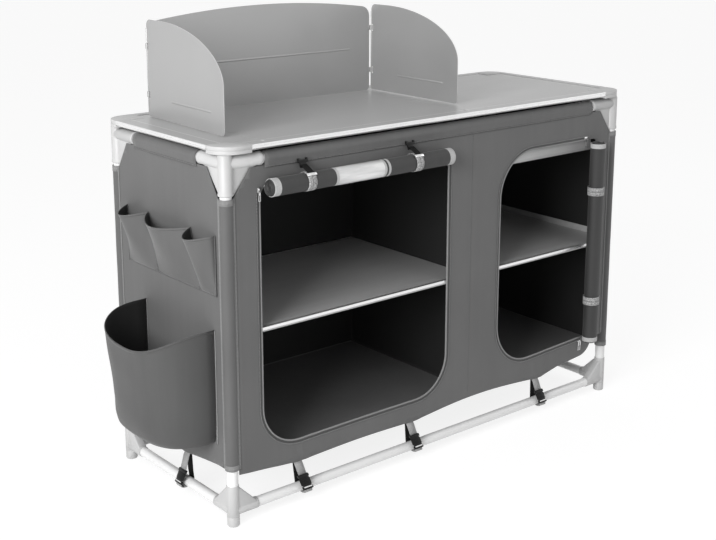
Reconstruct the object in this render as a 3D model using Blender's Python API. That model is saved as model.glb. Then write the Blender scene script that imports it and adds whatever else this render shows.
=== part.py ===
"""Camp kitchen: a tube frame on plastic corner connectors, a hanging fabric cupboard with
two rolled-up doors and side pockets, a lift-off worktop and a folding windscreen.

Metres, +Z up, X along the long front, the front facing -Y.
"""
import math

import bmesh
import bpy
from mathutils import Matrix, Vector

# Overall sizes
LEG_SPACING_X = 1.16
LEG_SPACING_Y = 0.42
WORKTOP_HEIGHT = 0.80
WORKTOP_OVERHANG = 0.022
CLEARANCE = 0.0003

# Frame tubes and their plastic connectors
LEG_RADIUS = 0.012
RAIL_RADIUS = 0.011
TUBE_WALL = 0.0012
TUBE_SIDES = 20
SOCKET_WALL = 0.0022
RAIL_SETBACK = 0.0065
BOTTOM_RAIL_HEIGHT = 0.034
TOP_RAIL_DROP = 0.034
FOOT_SOLE = 0.010
FOOT_SOCKET_TOP = 0.090
FOOT_COLLAR_REACH = 0.067
FOOT_WEB_DROP = 0.004
TOP_SOCKET_LENGTH = 0.083
TOP_COLLAR_REACH = 0.083
TOP_SOCKET_CAP = 0.0137
TOP_WEB_RISE = 0.018
TOP_WEB_REACH = 0.054
WEB_THICKNESS = 0.004
WEB_START = 0.006
WEB_INSET = 0.001

# Fabric
FABRIC = 0.0015
PANEL_OFFSET = 0.008
SLEEVE_GAP = 0.0004
SLEEVE_WALL = 0.002
SLEEVE_ABOVE_FOOT = 0.035
SLEEVE_BELOW_CONNECTOR = 0.0057
SHEET_BELOW_SLEEVE_TOP = 0.001
PANEL_CORNER_DROP = 0.052
PANEL_CORNER_RUN = 0.087
HEM_AT_STRAP = 0.098
HEM_BETWEEN = 0.117
HEM_AT_LEG = 0.112
HEM_BEFORE_RIGHT_END = 0.108
HEM_RIGHT_END = 0.150
HEM_RIGHT_RADIUS = 0.045
HEM_STEPS = 8
SIDE_HEM_AT_STRAP = 0.108

# Boards, and the cloth wall between the two cupboards
BOARD = 0.009
FLOOR_TOP = 0.130
FLOOR_CORNER_X = 0.084
FLOOR_CORNER_Y = 0.062
SHELF_TOP = 0.415
SLEEVE_TO_BOARD = 0.0031
DIVIDER_X = 0.085

# Doorways, placed from the legs, the divider, the floor and the top rail
LEFT_DOORWAY_FROM_LEG = 0.075
LEFT_DOORWAY_FROM_DIVIDER = 0.075
LEFT_DOORWAY_RISE = 0.020
LEFT_DOORWAY_DROP = 0.051
LEFT_DOORWAY_BOTTOM_RADIUS = 0.090
LEFT_DOORWAY_TOP_RADIUS = 0.030
RIGHT_DOORWAY_FROM_LEG = 0.064
RIGHT_DOORWAY_FROM_DIVIDER = 0.095
RIGHT_DOORWAY_RISE = 0.028
RIGHT_DOORWAY_DROP = 0.081
RIGHT_DOORWAY_RADIUS = 0.105
RIGHT_DOORWAY_HIDDEN_RADIUS = 0.012
RIGHT_DOORWAY_BOTTOM_RISE = 0.014

# Worktop
CORNER_LENGTH_X = 0.072
CORNER_LENGTH_Y = 0.055
CORNER_RADIUS = 0.045
CORNER_HEIGHT = 0.016
PEG_RADIUS = 0.0062
PEG_LENGTH = 0.008
EDGE_HEIGHT = 0.012
EDGE_WALL = 0.001
EDGE_LIP = 0.020
EDGE_LOWER_LIP = 0.012
PANEL_THICKNESS = 0.009
LEFT_SEAM_FROM_LEG = 0.094
RIGHT_SEAM_FROM_DIVIDER = 0.005
SEAM = 0.0008

# Windscreen, its hinges at its two back corners
SCREEN = 0.0012
SCREEN_FROM_LEG = 0.064
SCREEN_PAST_DIVIDER = 0.035
SCREEN_FROM_BACK_LEG = 0.030
SCREEN_BACK_SETBACK = 0.0045
SCREEN_END_HEIGHT = 0.205
SCREEN_MIDDLE_HEIGHT = 0.228
SCREEN_SHOULDER_RADIUS = 0.018
SCREEN_SHOULDER_RUN = 0.024
SCREEN_LOWER_RADIUS = 0.008
ARCH_STEPS = 10
WING_LENGTH = 0.312
WING_HEIGHT = 0.213
WING_FRONT_HEIGHT = 0.100
WING_FLAT_RUN = 0.060
WING_BACK_RADIUS = 0.014
WING_FRONT_RADIUS = 0.010
WING_FOOT = 0.002
WING_STEPS = 12
WING_LEFT_REST_DEGREES = 2.0
WING_RIGHT_REST_DEGREES = 0.5
KNUCKLE_HEIGHTS = (0.050, 0.155)
KNUCKLE_LENGTH = 0.012
KNUCKLE_OUTER = 0.0036
KNUCKLE_INNER = 0.0022
KNUCKLE_SIDES = 12
KNUCKLE_TAB_LAP = 0.0004
KNUCKLE_NOTCH = 0.007
KNUCKLE_NOTCH_MARGIN = 0.002
HINGE_BEAD_RADIUS = 0.0018
HINGE_BEAD_FOOT = 0.010
HINGE_BEAD_DROP = 0.018

# Lower pocket on the left side, its sections given as height, depth and width shares
LOWER_POCKET_FROM_FRONT_LEG = 0.038
LOWER_POCKET_FROM_BACK_LEG = 0.112
LOWER_POCKET_ABOVE_FLOOR = 0.038
LOWER_POCKET_BELOW_UTENSILS = 0.073
LOWER_POCKET_RIM_SAG = 0.026
LOWER_POCKET_DEPTH = 0.146
LOWER_POCKET_SIDE_POWER = 0.75
LOWER_POCKET_FRONT_POWER = 0.62
LOWER_POCKET_TUCK = 0.004
LOWER_POCKET_STEPS = 18
LOWER_POCKET_SECTIONS = ((0.00, 0.62, 0.90), (0.02, 0.78, 0.94), (0.07, 0.85, 0.97), (0.16, 0.88, 0.99),
                         (0.35, 0.91, 1.00), (0.65, 0.95, 1.00), (0.85, 0.98, 1.00), (1.00, 1.00, 1.00))

# Utensil pockets above it, their two seams given at the bottom and at the top
UTENSIL_FROM_FRONT_LEG = 0.026
UTENSIL_FROM_BACK_LEG = 0.049
UTENSIL_DROP = 0.149
UTENSIL_HEIGHT = 0.126
UTENSIL_BULGE = 0.045
UTENSIL_BULGE_POWER = 0.8
UTENSIL_FIRST_SEAM = (0.060, 0.090)
UTENSIL_SECOND_SEAM = (0.122, 0.088)
UTENSIL_LEVELS = 6
UTENSIL_STEPS = 8

# Rolled doors and the bands that hold them up
ROLL_STEP = 0.003
ROLL_SIDES = 24
LEFT_ROLL_RADIUS = 0.0205
LEFT_ROLL_START = 0.005
LEFT_ROLL_STOP = 0.0125
LEFT_ROLL_DROP = 0.004
RIGHT_ROLL_HALF_WIDTH = 0.0215
RIGHT_ROLL_HALF_DEPTH = 0.020
RIGHT_ROLL_INSET = 0.018
RIGHT_ROLL_RISE = 0.002
RIGHT_ROLL_DROP = 0.003
BAND = 0.0012
BAND_WIDTH = 0.022
TAB_WIDTH = 0.020
TAB_START = 0.25
RIGHT_BAND_TAB_END = 0.042
LEFT_BAND_INSETS = (0.097, 0.1095)
LEFT_BAND_TAB_RISE = 0.037
RIGHT_BAND_INSETS = (0.113, 0.125)

# Straps that pull the hem down to the bottom rails
STRAP = 0.0015
STRAP_WIDTH = 0.022
STRAP_TAB = 0.016
STRAP_STEPS = 14
FIRST_STRAP_FROM_LEG = 0.170
SECOND_STRAP_FROM_DIVIDER = 0.175
THIRD_STRAP_FROM_LEG = 0.250
BACK_STRAPS_FROM_LEG = 0.280
SIDE_STRAP_Y = -0.040
BUCKLE_SIZE = (0.027, 0.007, 0.036)
BUCKLE_LAP = 0.0005
BUCKLE_BEVEL = 0.0015
BUCKLE_HEIGHT = 0.052

# Zip sliders
SLIDER_BODY = (0.007, 0.0035, 0.011)
SLIDER_BEVEL = 0.001
SLIDER_PULL = (0.0045, 0.0012, 0.020)
SLIDER_PULL_LAP = 0.0004
LEFT_SLIDER_DROP = 0.011
RIGHT_TOP_SLIDER_INSET = 0.042
RIGHT_BOTTOM_SLIDER_INSET = 0.036
RIGHT_BOTTOM_SLIDER_SHARE = 0.85

# How far a cutting shape runs on past what it cuts, and how close points are joined
THROUGH = 0.010
WELD = 0.000002
ARC_STEPS = 6
SMOOTH_DEGREES = 35

# Frame, worked out from the sizes above
HALF_X = LEG_SPACING_X / 2
HALF_Y = LEG_SPACING_Y / 2
TOP_EDGE_X = HALF_X + WORKTOP_OVERHANG
TOP_EDGE_Y = HALF_Y + WORKTOP_OVERHANG
TOP_RAIL_HEIGHT = WORKTOP_HEIGHT - TOP_RAIL_DROP
CONNECTOR_TOP = WORKTOP_HEIGHT - CORNER_HEIGHT - CLEARANCE
TOP_SOCKET_BOTTOM = CONNECTOR_TOP - TOP_SOCKET_LENGTH
LEG_TOP = CONNECTOR_TOP - TOP_SOCKET_CAP - CLEARANCE
RAIL_START = LEG_RADIUS + RAIL_SETBACK
SOCKET_RADIUS = LEG_RADIUS + CLEARANCE + SOCKET_WALL
COLLAR_RADIUS = RAIL_RADIUS + CLEARANCE + SOCKET_WALL
BOARD_TOP = WORKTOP_HEIGHT - EDGE_WALL - CLEARANCE
SEAM_LEFT_X = LEFT_SEAM_FROM_LEG - HALF_X
SEAM_RIGHT_X = DIVIDER_X - RIGHT_SEAM_FROM_DIVIDER

# Cloth and boards, worked out
LEG_SLEEVE_RADIUS = LEG_RADIUS + SLEEVE_GAP + SLEEVE_WALL
LEG_SLEEVE_BOTTOM = FOOT_SOCKET_TOP + SLEEVE_ABOVE_FOOT
LEG_SLEEVE_TOP = TOP_SOCKET_BOTTOM - SLEEVE_BELOW_CONNECTOR
RAIL_SLEEVE_RADIUS = RAIL_RADIUS + SLEEVE_GAP + SLEEVE_WALL
OUTER_FACE = PANEL_OFFSET + FABRIC / 2
INNER_FACE = PANEL_OFFSET - FABRIC / 2
PANEL_INSET = math.sqrt(LEG_SLEEVE_RADIUS ** 2 - INNER_FACE ** 2) + CLEARANCE
SHOULDER_HEIGHT = TOP_RAIL_HEIGHT - COLLAR_RADIUS - CLEARANCE
LEG_NOTCH = LEG_SLEEVE_RADIUS + SLEEVE_TO_BOARD
FRONT_STRAPS_X = (FIRST_STRAP_FROM_LEG - HALF_X, DIVIDER_X - SECOND_STRAP_FROM_DIVIDER,
                  HALF_X - THIRD_STRAP_FROM_LEG)
BACK_STRAPS_X = (BACK_STRAPS_FROM_LEG - HALF_X, HALF_X - BACK_STRAPS_FROM_LEG)

# Doorways as left, right, bottom and top, and the rolled doors beside them
LEFT_DOORWAY = (LEFT_DOORWAY_FROM_LEG - HALF_X, DIVIDER_X - LEFT_DOORWAY_FROM_DIVIDER,
                FLOOR_TOP + LEFT_DOORWAY_RISE, TOP_RAIL_HEIGHT - LEFT_DOORWAY_DROP)
RIGHT_DOORWAY = (DIVIDER_X + RIGHT_DOORWAY_FROM_DIVIDER, HALF_X - RIGHT_DOORWAY_FROM_LEG,
                 FLOOR_TOP + RIGHT_DOORWAY_RISE, TOP_RAIL_HEIGHT - RIGHT_DOORWAY_DROP)
BAND_BACK = HALF_Y + OUTER_FACE + CLEARANCE
LEFT_ROLL_ENDS_X = (LEFT_DOORWAY[0] + LEFT_ROLL_START, LEFT_DOORWAY[1] - LEFT_ROLL_STOP)
LEFT_ROLL_HEIGHT = LEFT_DOORWAY[3] - LEFT_ROLL_DROP
LEFT_ROLL_Y = -(BAND_BACK + BAND + CLEARANCE + LEFT_ROLL_RADIUS)
LEFT_BANDS_X = (LEFT_ROLL_ENDS_X[0] + LEFT_BAND_INSETS[0], LEFT_ROLL_ENDS_X[1] - LEFT_BAND_INSETS[1])
RIGHT_ROLL_X = RIGHT_DOORWAY[1] - RIGHT_ROLL_INSET
RIGHT_ROLL_Y = -(BAND_BACK + BAND + CLEARANCE + RIGHT_ROLL_HALF_DEPTH)
RIGHT_ROLL_ENDS = (RIGHT_DOORWAY[2] + RIGHT_ROLL_RISE, RIGHT_DOORWAY[3] - RIGHT_ROLL_DROP)
RIGHT_BANDS_HEIGHT = (RIGHT_ROLL_ENDS[0] + RIGHT_BAND_INSETS[0], RIGHT_ROLL_ENDS[1] - RIGHT_BAND_INSETS[1])

# Windscreen and pockets, worked out
SCREEN_LEFT_X = SCREEN_FROM_LEG - HALF_X
SCREEN_RIGHT_X = DIVIDER_X + SCREEN_PAST_DIVIDER
SCREEN_HINGE_Y = HALF_Y - SCREEN_FROM_BACK_LEG
SCREEN_FOOT = BOARD_TOP + CLEARANCE
POCKET_FACE_X = -(HALF_X + OUTER_FACE + CLEARANCE)
LOWER_POCKET_FRONT_Y = LOWER_POCKET_FROM_FRONT_LEG - HALF_Y
LOWER_POCKET_BACK_Y = HALF_Y - LOWER_POCKET_FROM_BACK_LEG
LOWER_POCKET_BOTTOM = FLOOR_TOP + LOWER_POCKET_ABOVE_FLOOR
UTENSIL_FRONT_Y = UTENSIL_FROM_FRONT_LEG - HALF_Y
UTENSIL_BACK_Y = HALF_Y - UTENSIL_FROM_BACK_LEG
UTENSIL_TOP = TOP_RAIL_HEIGHT - UTENSIL_DROP
UTENSIL_BOTTOM = UTENSIL_TOP - UTENSIL_HEIGHT
LOWER_POCKET_RIM = UTENSIL_BOTTOM - LOWER_POCKET_BELOW_UTENSILS

# The model's origin is under the middle of its outline
LOWEST_X = POCKET_FACE_X - LOWER_POCKET_DEPTH
HIGHEST_X = TOP_EDGE_X
LOWEST_Y = LEFT_ROLL_Y - LEFT_ROLL_RADIUS - CLEARANCE - BAND
HIGHEST_Y = TOP_EDGE_Y
ORIGIN = Vector((-(LOWEST_X + HIGHEST_X) / 2, -(LOWEST_Y + HIGHEST_Y) / 2, 0))

# Turns that stand a flat outline up, its X running along the front or along the side
FACING_FRONT = Matrix.Rotation(math.radians(90), 4, "X")
FACING_SIDE = Matrix.Rotation(math.radians(90), 4, "Z") @ FACING_FRONT
LYING_ALONG_X = Matrix.Rotation(math.radians(90), 4, "Y")
LYING_ALONG_Y = Matrix.Rotation(math.radians(-90), 4, "X")


def make_material(name, colour, roughness, metallic=0.0):
    """A plain Principled material."""
    material = bpy.data.materials.new(name)
    material.use_nodes = True
    shader = material.node_tree.nodes["Principled BSDF"]
    shader.inputs["Base Color"].default_value = (*colour, 1.0)
    shader.inputs["Roughness"].default_value = roughness
    shader.inputs["Metallic"].default_value = metallic
    return material


def face_outwards(bm):
    """Turn a closed shape's faces outwards."""
    bmesh.ops.recalc_face_normals(bm, faces=bm.faces)
    if bm.calc_volume(signed=True) < 0:
        bmesh.ops.reverse_faces(bm, faces=bm.faces)


def make_node(name, bm, material, place=None, smooth=False):
    """One named piece from a bmesh, placed by a matrix under the model's origin."""
    face_outwards(bm)
    mesh = bpy.data.meshes.new(name)
    bm.to_mesh(mesh)
    bm.free()
    return place_mesh(name, mesh, material, place, smooth)


def place_mesh(name, mesh, material, place=None, smooth=False):
    """A named piece that shows a mesh, which other pieces may share."""
    if not mesh.materials:
        mesh.materials.append(material)
    if smooth:
        mesh.shade_smooth()
        mesh.set_sharp_from_angle(angle=math.radians(SMOOTH_DEGREES))
    piece = bpy.data.objects.new(name, mesh)
    bpy.context.collection.objects.link(piece)
    piece.parent = bpy.data.objects["model_origin"]
    piece.matrix_local = place or Matrix.Identity(4)
    return piece


def at(x, y, z, turn=None):
    """A place: a position, with an optional turn first."""
    move = Matrix.Translation((x, y, z))
    return move @ turn if turn else move


def rod(radius, start, end, sides=TUBE_SIDES):
    """A solid round bar along Z."""
    bm = bmesh.new()
    bmesh.ops.create_cone(bm, cap_ends=True, segments=sides, radius1=radius, radius2=radius,
                          depth=end - start,
                          matrix=Matrix.Translation((0, 0, (start + end) / 2)))
    return bm


def block(size, centre=(0, 0, 0)):
    """A box of a size about a centre."""
    bm = bmesh.new()
    place = Matrix.Translation(centre) @ Matrix.Diagonal((*size, 1.0))
    bmesh.ops.create_cube(bm, size=1.0, matrix=place)
    return bm


def plate(outline, thickness, holes=()):
    """A flat sheet in the XY plane, its thickness shared each side of Z = 0."""
    bm = bmesh.new()
    edges = []
    for loop in (outline, *holes):
        verts = [bm.verts.new((x, y, thickness / 2)) for x, y in loop]
        edges += [bm.edges.new((verts[i - 1], verts[i])) for i in range(len(verts))]
    bmesh.ops.triangle_fill(bm, use_beauty=True, edges=edges)
    for face in bm.faces:
        if face.normal.z < 0:
            face.normal_flip()
    bmesh.ops.solidify(bm, geom=bm.faces[:], thickness=thickness)
    return bm


def rounded(corners, steps=ARC_STEPS):
    """An outline through corners given as (x, y, radius)."""
    points = []
    for i, (x, y, radius) in enumerate(corners):
        corner = Vector((x, y))
        if radius <= 0:
            points.append(corner)
            continue
        before = (Vector(corners[i - 1][:2]) - corner).normalized()
        after = (Vector(corners[(i + 1) % len(corners)][:2]) - corner).normalized()
        half = before.angle(after) / 2
        centre = corner + (before + after).normalized() * radius / math.sin(half)
        start = corner + before * radius / math.tan(half) - centre
        sweep = math.pi - 2 * half
        if before.x * after.y - before.y * after.x > 0:
            sweep = -sweep
        for step in range(steps + 1):
            turn = Matrix.Rotation(sweep * step / steps, 2)
            points.append(centre + turn @ start)
    return [tuple(point) for point in points]


def fuse(bm, additions=(), cuts=()):
    """One mesh from a bmesh with others joined to it and cut from it."""
    tools = []

    def as_object(shape):
        face_outwards(shape)
        mesh = bpy.data.meshes.new("shape")
        shape.to_mesh(mesh)
        shape.free()
        piece = bpy.data.objects.new("shape", mesh)
        bpy.context.collection.objects.link(piece)
        tools.append(piece)
        return piece

    body = as_object(bm)
    for shapes, operation in ((additions, "UNION"), (cuts, "DIFFERENCE")):
        for shape in shapes:
            modifier = body.modifiers.new(operation.lower(), "BOOLEAN")
            modifier.operation = operation
            modifier.object = as_object(shape)
    bpy.context.view_layer.update()
    evaluated = body.evaluated_get(bpy.context.evaluated_depsgraph_get())
    mesh = bpy.data.meshes.new_from_object(evaluated)
    for piece in tools:
        bpy.data.objects.remove(piece)
    joined = bmesh.new()
    joined.from_mesh(mesh)
    bmesh.ops.remove_doubles(joined, verts=joined.verts, dist=WELD)
    joined.to_mesh(mesh)
    joined.free()
    return mesh


def turned(bm, matrix):
    """The bmesh, moved by a matrix."""
    bm.transform(matrix)
    return bm


def tube_mesh(radius, length):
    """A hollow tube along Z from the origin."""
    bm = bmesh.new()
    inner = radius - TUBE_WALL
    corners = ((radius, 0), (radius, length), (inner, length), (inner, 0))
    profile = [bm.verts.new((x, 0, z)) for x, z in corners]
    edges = [bm.edges.new((profile[i - 1], profile[i])) for i in range(len(profile))]
    bmesh.ops.spin(bm, geom=profile + edges, cent=(0, 0, 0), axis=(0, 0, 1), angle=2 * math.pi,
                   steps=TUBE_SIDES, use_merge=True)
    face_outwards(bm)
    mesh = bpy.data.meshes.new("tube")
    bm.to_mesh(mesh)
    bm.free()
    return mesh


CORNERS = {
    "front_left": (-1, -1, 0),
    "front_right": (1, -1, 90),
    "back_right": (1, 1, 180),
    "back_left": (-1, 1, 270),
}


def corner_web(points):
    """A triangular web in the XZ plane and its twin in the YZ plane."""
    along_x = turned(plate(points, WEB_THICKNESS), FACING_FRONT)
    along_y = turned(plate(points, WEB_THICKNESS), FACING_SIDE)
    return along_x, along_y


def connector_mesh(socket_ends, leg_bore, rail_height, reach, web, extra_cuts=()):
    """A corner connector with its socket on Z and its two collars along +X and +Y."""
    bore = (RAIL_START - CLEARANCE, reach + THROUGH)
    lift = Matrix.Translation((0, 0, rail_height))
    lying = [lift @ turn for turn in (LYING_ALONG_X, LYING_ALONG_Y)]
    additions = [turned(rod(COLLAR_RADIUS, 0, reach), place) for place in lying]
    additions += corner_web(web)
    cuts = [turned(rod(RAIL_RADIUS + CLEARANCE, *bore), place) for place in lying]
    cuts.append(rod(LEG_RADIUS + CLEARANCE, *leg_bore))
    cuts += extra_cuts
    return fuse(rod(SOCKET_RADIUS, *socket_ends), additions, cuts)


def build_frame(plastic, metal):
    """Legs, rails and the eight corner connectors."""
    collar_top = BOTTOM_RAIL_HEIGHT + COLLAR_RADIUS - WEB_INSET
    web_end = FOOT_COLLAR_REACH - WEB_INSET
    web_top = FOOT_SOCKET_TOP - FOOT_WEB_DROP
    foot_web = ((WEB_START, BOTTOM_RAIL_HEIGHT), (web_end, BOTTOM_RAIL_HEIGHT), (web_end, collar_top),
                (SOCKET_RADIUS + WEB_INSET, web_top), (WEB_START, web_top))
    foot = connector_mesh((0, FOOT_SOCKET_TOP), (FOOT_SOLE, FOOT_SOCKET_TOP + THROUGH),
                          BOTTOM_RAIL_HEIGHT, FOOT_COLLAR_REACH, foot_web)
    web_bottom = TOP_SOCKET_BOTTOM + TOP_WEB_RISE
    collar_bottom = TOP_RAIL_HEIGHT - COLLAR_RADIUS + WEB_INSET
    top_web = ((WEB_START, web_bottom), (SOCKET_RADIUS + WEB_INSET, web_bottom),
               (TOP_WEB_REACH, collar_bottom), (TOP_WEB_REACH, TOP_RAIL_HEIGHT),
               (WEB_START, TOP_RAIL_HEIGHT))
    peg_hole = rod(PEG_RADIUS + CLEARANCE, CONNECTOR_TOP - PEG_LENGTH - CLEARANCE, CONNECTOR_TOP + THROUGH)
    top = connector_mesh((TOP_SOCKET_BOTTOM, CONNECTOR_TOP),
                         (TOP_SOCKET_BOTTOM - THROUGH, LEG_TOP + CLEARANCE),
                         TOP_RAIL_HEIGHT, TOP_COLLAR_REACH, top_web, [peg_hole])
    leg_foot = FOOT_SOLE + CLEARANCE
    leg = tube_mesh(LEG_RADIUS, LEG_TOP - leg_foot)
    for corner, (side_x, side_y, degrees) in CORNERS.items():
        turn = Matrix.Rotation(math.radians(degrees), 4, "Z")
        x = side_x * HALF_X
        y = side_y * HALF_Y
        place_mesh("foot_connector_" + corner, foot, plastic, at(x, y, 0, turn), smooth=True)
        place_mesh("top_connector_" + corner, top, plastic, at(x, y, 0, turn), smooth=True)
        place_mesh("leg_" + corner, leg, metal, at(x, y, leg_foot), smooth=True)
    rail_x = tube_mesh(RAIL_RADIUS, LEG_SPACING_X - 2 * RAIL_START)
    rail_y = tube_mesh(RAIL_RADIUS, LEG_SPACING_Y - 2 * RAIL_START)
    for level, height in (("bottom", BOTTOM_RAIL_HEIGHT), ("top", TOP_RAIL_HEIGHT)):
        for side, sign in (("front", -1), ("back", 1)):
            place = at(RAIL_START - HALF_X, sign * HALF_Y, height, LYING_ALONG_X)
            place_mesh(f"rail_{level}_{side}", rail_x, metal, place, smooth=True)
        for side, sign in (("left", -1), ("right", 1)):
            place = at(sign * HALF_X, RAIL_START - HALF_Y, height, LYING_ALONG_Y)
            place_mesh(f"rail_{level}_{side}", rail_y, metal, place, smooth=True)


def scallop(start, end, height_start, height_end, middle):
    """Hem points from one hold to the next, rising to the middle height between them."""
    points = []
    for step in range(1, HEM_STEPS):
        share = step / HEM_STEPS
        base = height_start + (height_end - height_start) * share
        rise = middle - (height_start + height_end) / 2
        points.append((start + (end - start) * share, base + rise * math.sin(math.pi * share) ** 2))
    return points


def long_hem(holds, mirrored=False):
    """The bottom edge of a long panel from -X to +X, pulled down at each hold."""
    side = HALF_X - PANEL_INSET
    half_strap = STRAP_WIDTH / 2
    points = [(-side, HEM_AT_LEG)]
    for i, hold in enumerate(holds):
        points += [(hold - half_strap, HEM_AT_STRAP), (hold + half_strap, HEM_AT_STRAP)]
        if i + 1 < len(holds):
            points += scallop(hold + half_strap, holds[i + 1] - half_strap, HEM_AT_STRAP, HEM_AT_STRAP,
                              HEM_BETWEEN)
    points.append((side, HEM_AT_LEG) if mirrored else (side, HEM_RIGHT_END))
    return points


def long_panel_outline(hem):
    """A front or back panel: its hem, then up the leg, round the connector and along the rail."""
    side = HALF_X - PANEL_INSET
    shoulder_x = HALF_X - PANEL_CORNER_RUN
    slope_x = HALF_X - PANEL_CORNER_DROP
    top = [(side, LEG_SLEEVE_TOP), (slope_x, SHOULDER_HEIGHT), (shoulder_x, SHOULDER_HEIGHT),
           (shoulder_x, TOP_RAIL_HEIGHT)]
    return hem + top + [(-x, z) for x, z in reversed(top)]


def rail_sleeve(length):
    """The tube of fabric round a top rail, and the bore that the rail fills."""
    outer = rod(RAIL_SLEEVE_RADIUS, -length / 2, length / 2)
    bore = rod(RAIL_RADIUS + SLEEVE_GAP, -length / 2 - THROUGH, length / 2 + THROUGH)
    return outer, bore


def doorways():
    """The outlines of the two doorways."""
    left, right, bottom, top = LEFT_DOORWAY
    first = rounded([(left, bottom, LEFT_DOORWAY_BOTTOM_RADIUS),
                     (right, bottom, LEFT_DOORWAY_BOTTOM_RADIUS),
                     (right, top, LEFT_DOORWAY_TOP_RADIUS), (left, top, LEFT_DOORWAY_TOP_RADIUS)])
    left, right, bottom, top = RIGHT_DOORWAY
    second = rounded([(left, bottom, RIGHT_DOORWAY_RADIUS),
                      (right, bottom + RIGHT_DOORWAY_BOTTOM_RISE, RIGHT_DOORWAY_HIDDEN_RADIUS),
                      (right, top, RIGHT_DOORWAY_HIDDEN_RADIUS), (left, top, RIGHT_DOORWAY_RADIUS)])
    return first, second


def build_fabric(cloth, lining):
    """Front, back and side panels, with the divider between the two cupboards."""
    rail_run = LEG_SPACING_X - 2 * PANEL_CORNER_RUN
    hem = long_hem(FRONT_STRAPS_X)
    side = HALF_X - PANEL_INSET
    arc = []
    for step in range(ARC_STEPS):
        angle = math.pi / 2 * step / ARC_STEPS
        arc.append((side - HEM_RIGHT_RADIUS * (1 - math.sin(angle)),
                    HEM_RIGHT_END - (HEM_RIGHT_END - HEM_BEFORE_RIGHT_END) * math.cos(angle)))
    front_outline = long_panel_outline(hem[:-1] + arc + hem[-1:])
    outer, bore = rail_sleeve(rail_run)
    sheet = turned(plate(front_outline, FABRIC, doorways()), at(0, -PANEL_OFFSET, 0, FACING_FRONT))
    rail = at(0, 0, TOP_RAIL_HEIGHT, LYING_ALONG_X)
    front = fuse(sheet, [turned(outer, rail)], [turned(bore, rail)])
    place_mesh("front_panel", front, cloth, at(0, -HALF_Y, 0))

    outer, bore = rail_sleeve(rail_run)
    back_outline = long_panel_outline(long_hem(BACK_STRAPS_X, mirrored=True))
    sheet = turned(plate(back_outline, FABRIC), at(0, PANEL_OFFSET, 0, FACING_FRONT))
    back = fuse(sheet, [turned(outer, rail)], [turned(bore, rail)])
    place_mesh("back_panel", back, cloth, at(0, HALF_Y, 0))

    for name, sign in (("left_panel", -1), ("right_panel", 1)):
        place_mesh(name, side_panel_mesh(sign), cloth, at(sign * HALF_X, 0, 0))

    depth = LEG_SPACING_Y + 2 * (INNER_FACE - CLEARANCE)
    bottom = FLOOR_TOP + CLEARANCE
    top = TOP_RAIL_HEIGHT - RAIL_SLEEVE_RADIUS - CLEARANCE
    divider = block((FABRIC, depth, top - bottom), (0, 0, (top + bottom) / 2))
    make_node("divider_panel", divider, lining, at(DIVIDER_X, 0, 0))


def side_panel_mesh(sign):
    """A side panel with the sleeves round its two legs and its top rail, outward along X by sign."""
    shoulder_y = HALF_Y - PANEL_CORNER_RUN
    slope_y = HALF_Y - PANEL_CORNER_DROP
    neck_y = HALF_Y - SOCKET_RADIUS - CLEARANCE
    hem_end = LEG_SLEEVE_BOTTOM + CLEARANCE
    sheet_top = LEG_SLEEVE_TOP - SHEET_BELOW_SLEEVE_TOP
    hem = [(-HALF_Y, hem_end), (SIDE_STRAP_Y - STRAP_WIDTH / 2, SIDE_HEM_AT_STRAP),
           (SIDE_STRAP_Y + STRAP_WIDTH / 2, SIDE_HEM_AT_STRAP), (HALF_Y, hem_end)]
    top = [(HALF_Y, sheet_top), (neck_y, sheet_top), (slope_y, SHOULDER_HEIGHT),
           (shoulder_y, SHOULDER_HEIGHT), (shoulder_y, TOP_RAIL_HEIGHT)]
    outline = hem + top + [(-y, z) for y, z in reversed(top)]
    sheet = turned(plate(outline, FABRIC), at(sign * PANEL_OFFSET, 0, 0, FACING_SIDE))
    outer, bore = rail_sleeve(LEG_SPACING_Y - 2 * PANEL_CORNER_RUN)
    rail = at(0, 0, TOP_RAIL_HEIGHT, LYING_ALONG_Y)
    additions = [turned(outer, rail)]
    cuts = [turned(bore, rail)]
    for y in (-HALF_Y, HALF_Y):
        sleeve = rod(LEG_SLEEVE_RADIUS, LEG_SLEEVE_BOTTOM, LEG_SLEEVE_TOP)
        bore = rod(LEG_RADIUS + SLEEVE_GAP, LEG_SLEEVE_BOTTOM - THROUGH, LEG_SLEEVE_TOP + THROUGH)
        additions.append(turned(sleeve, at(0, y, 0)))
        cuts.append(turned(bore, at(0, y, 0)))
    return fuse(sheet, additions, cuts)


def board_outline(left, right, notch_left, notch_right):
    """A board between two walls, cut away round the legs at the ends that meet the side panels."""
    deep = HALF_Y + INNER_FACE - CLEARANCE
    notch = HALF_Y - LEG_NOTCH
    corners = []
    for x, inner_x, notched in ((left, -HALF_X + LEG_NOTCH, notch_left),
                                (right, HALF_X - LEG_NOTCH, notch_right)):
        if notched:
            corners.append([(inner_x, deep), (inner_x, notch), (x, notch)])
        else:
            corners.append([(x, deep)])
    left_side, right_side = corners
    back = left_side[::-1] + right_side
    front = [(x, -y) for x, y in reversed(back)]
    return back + front


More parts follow.
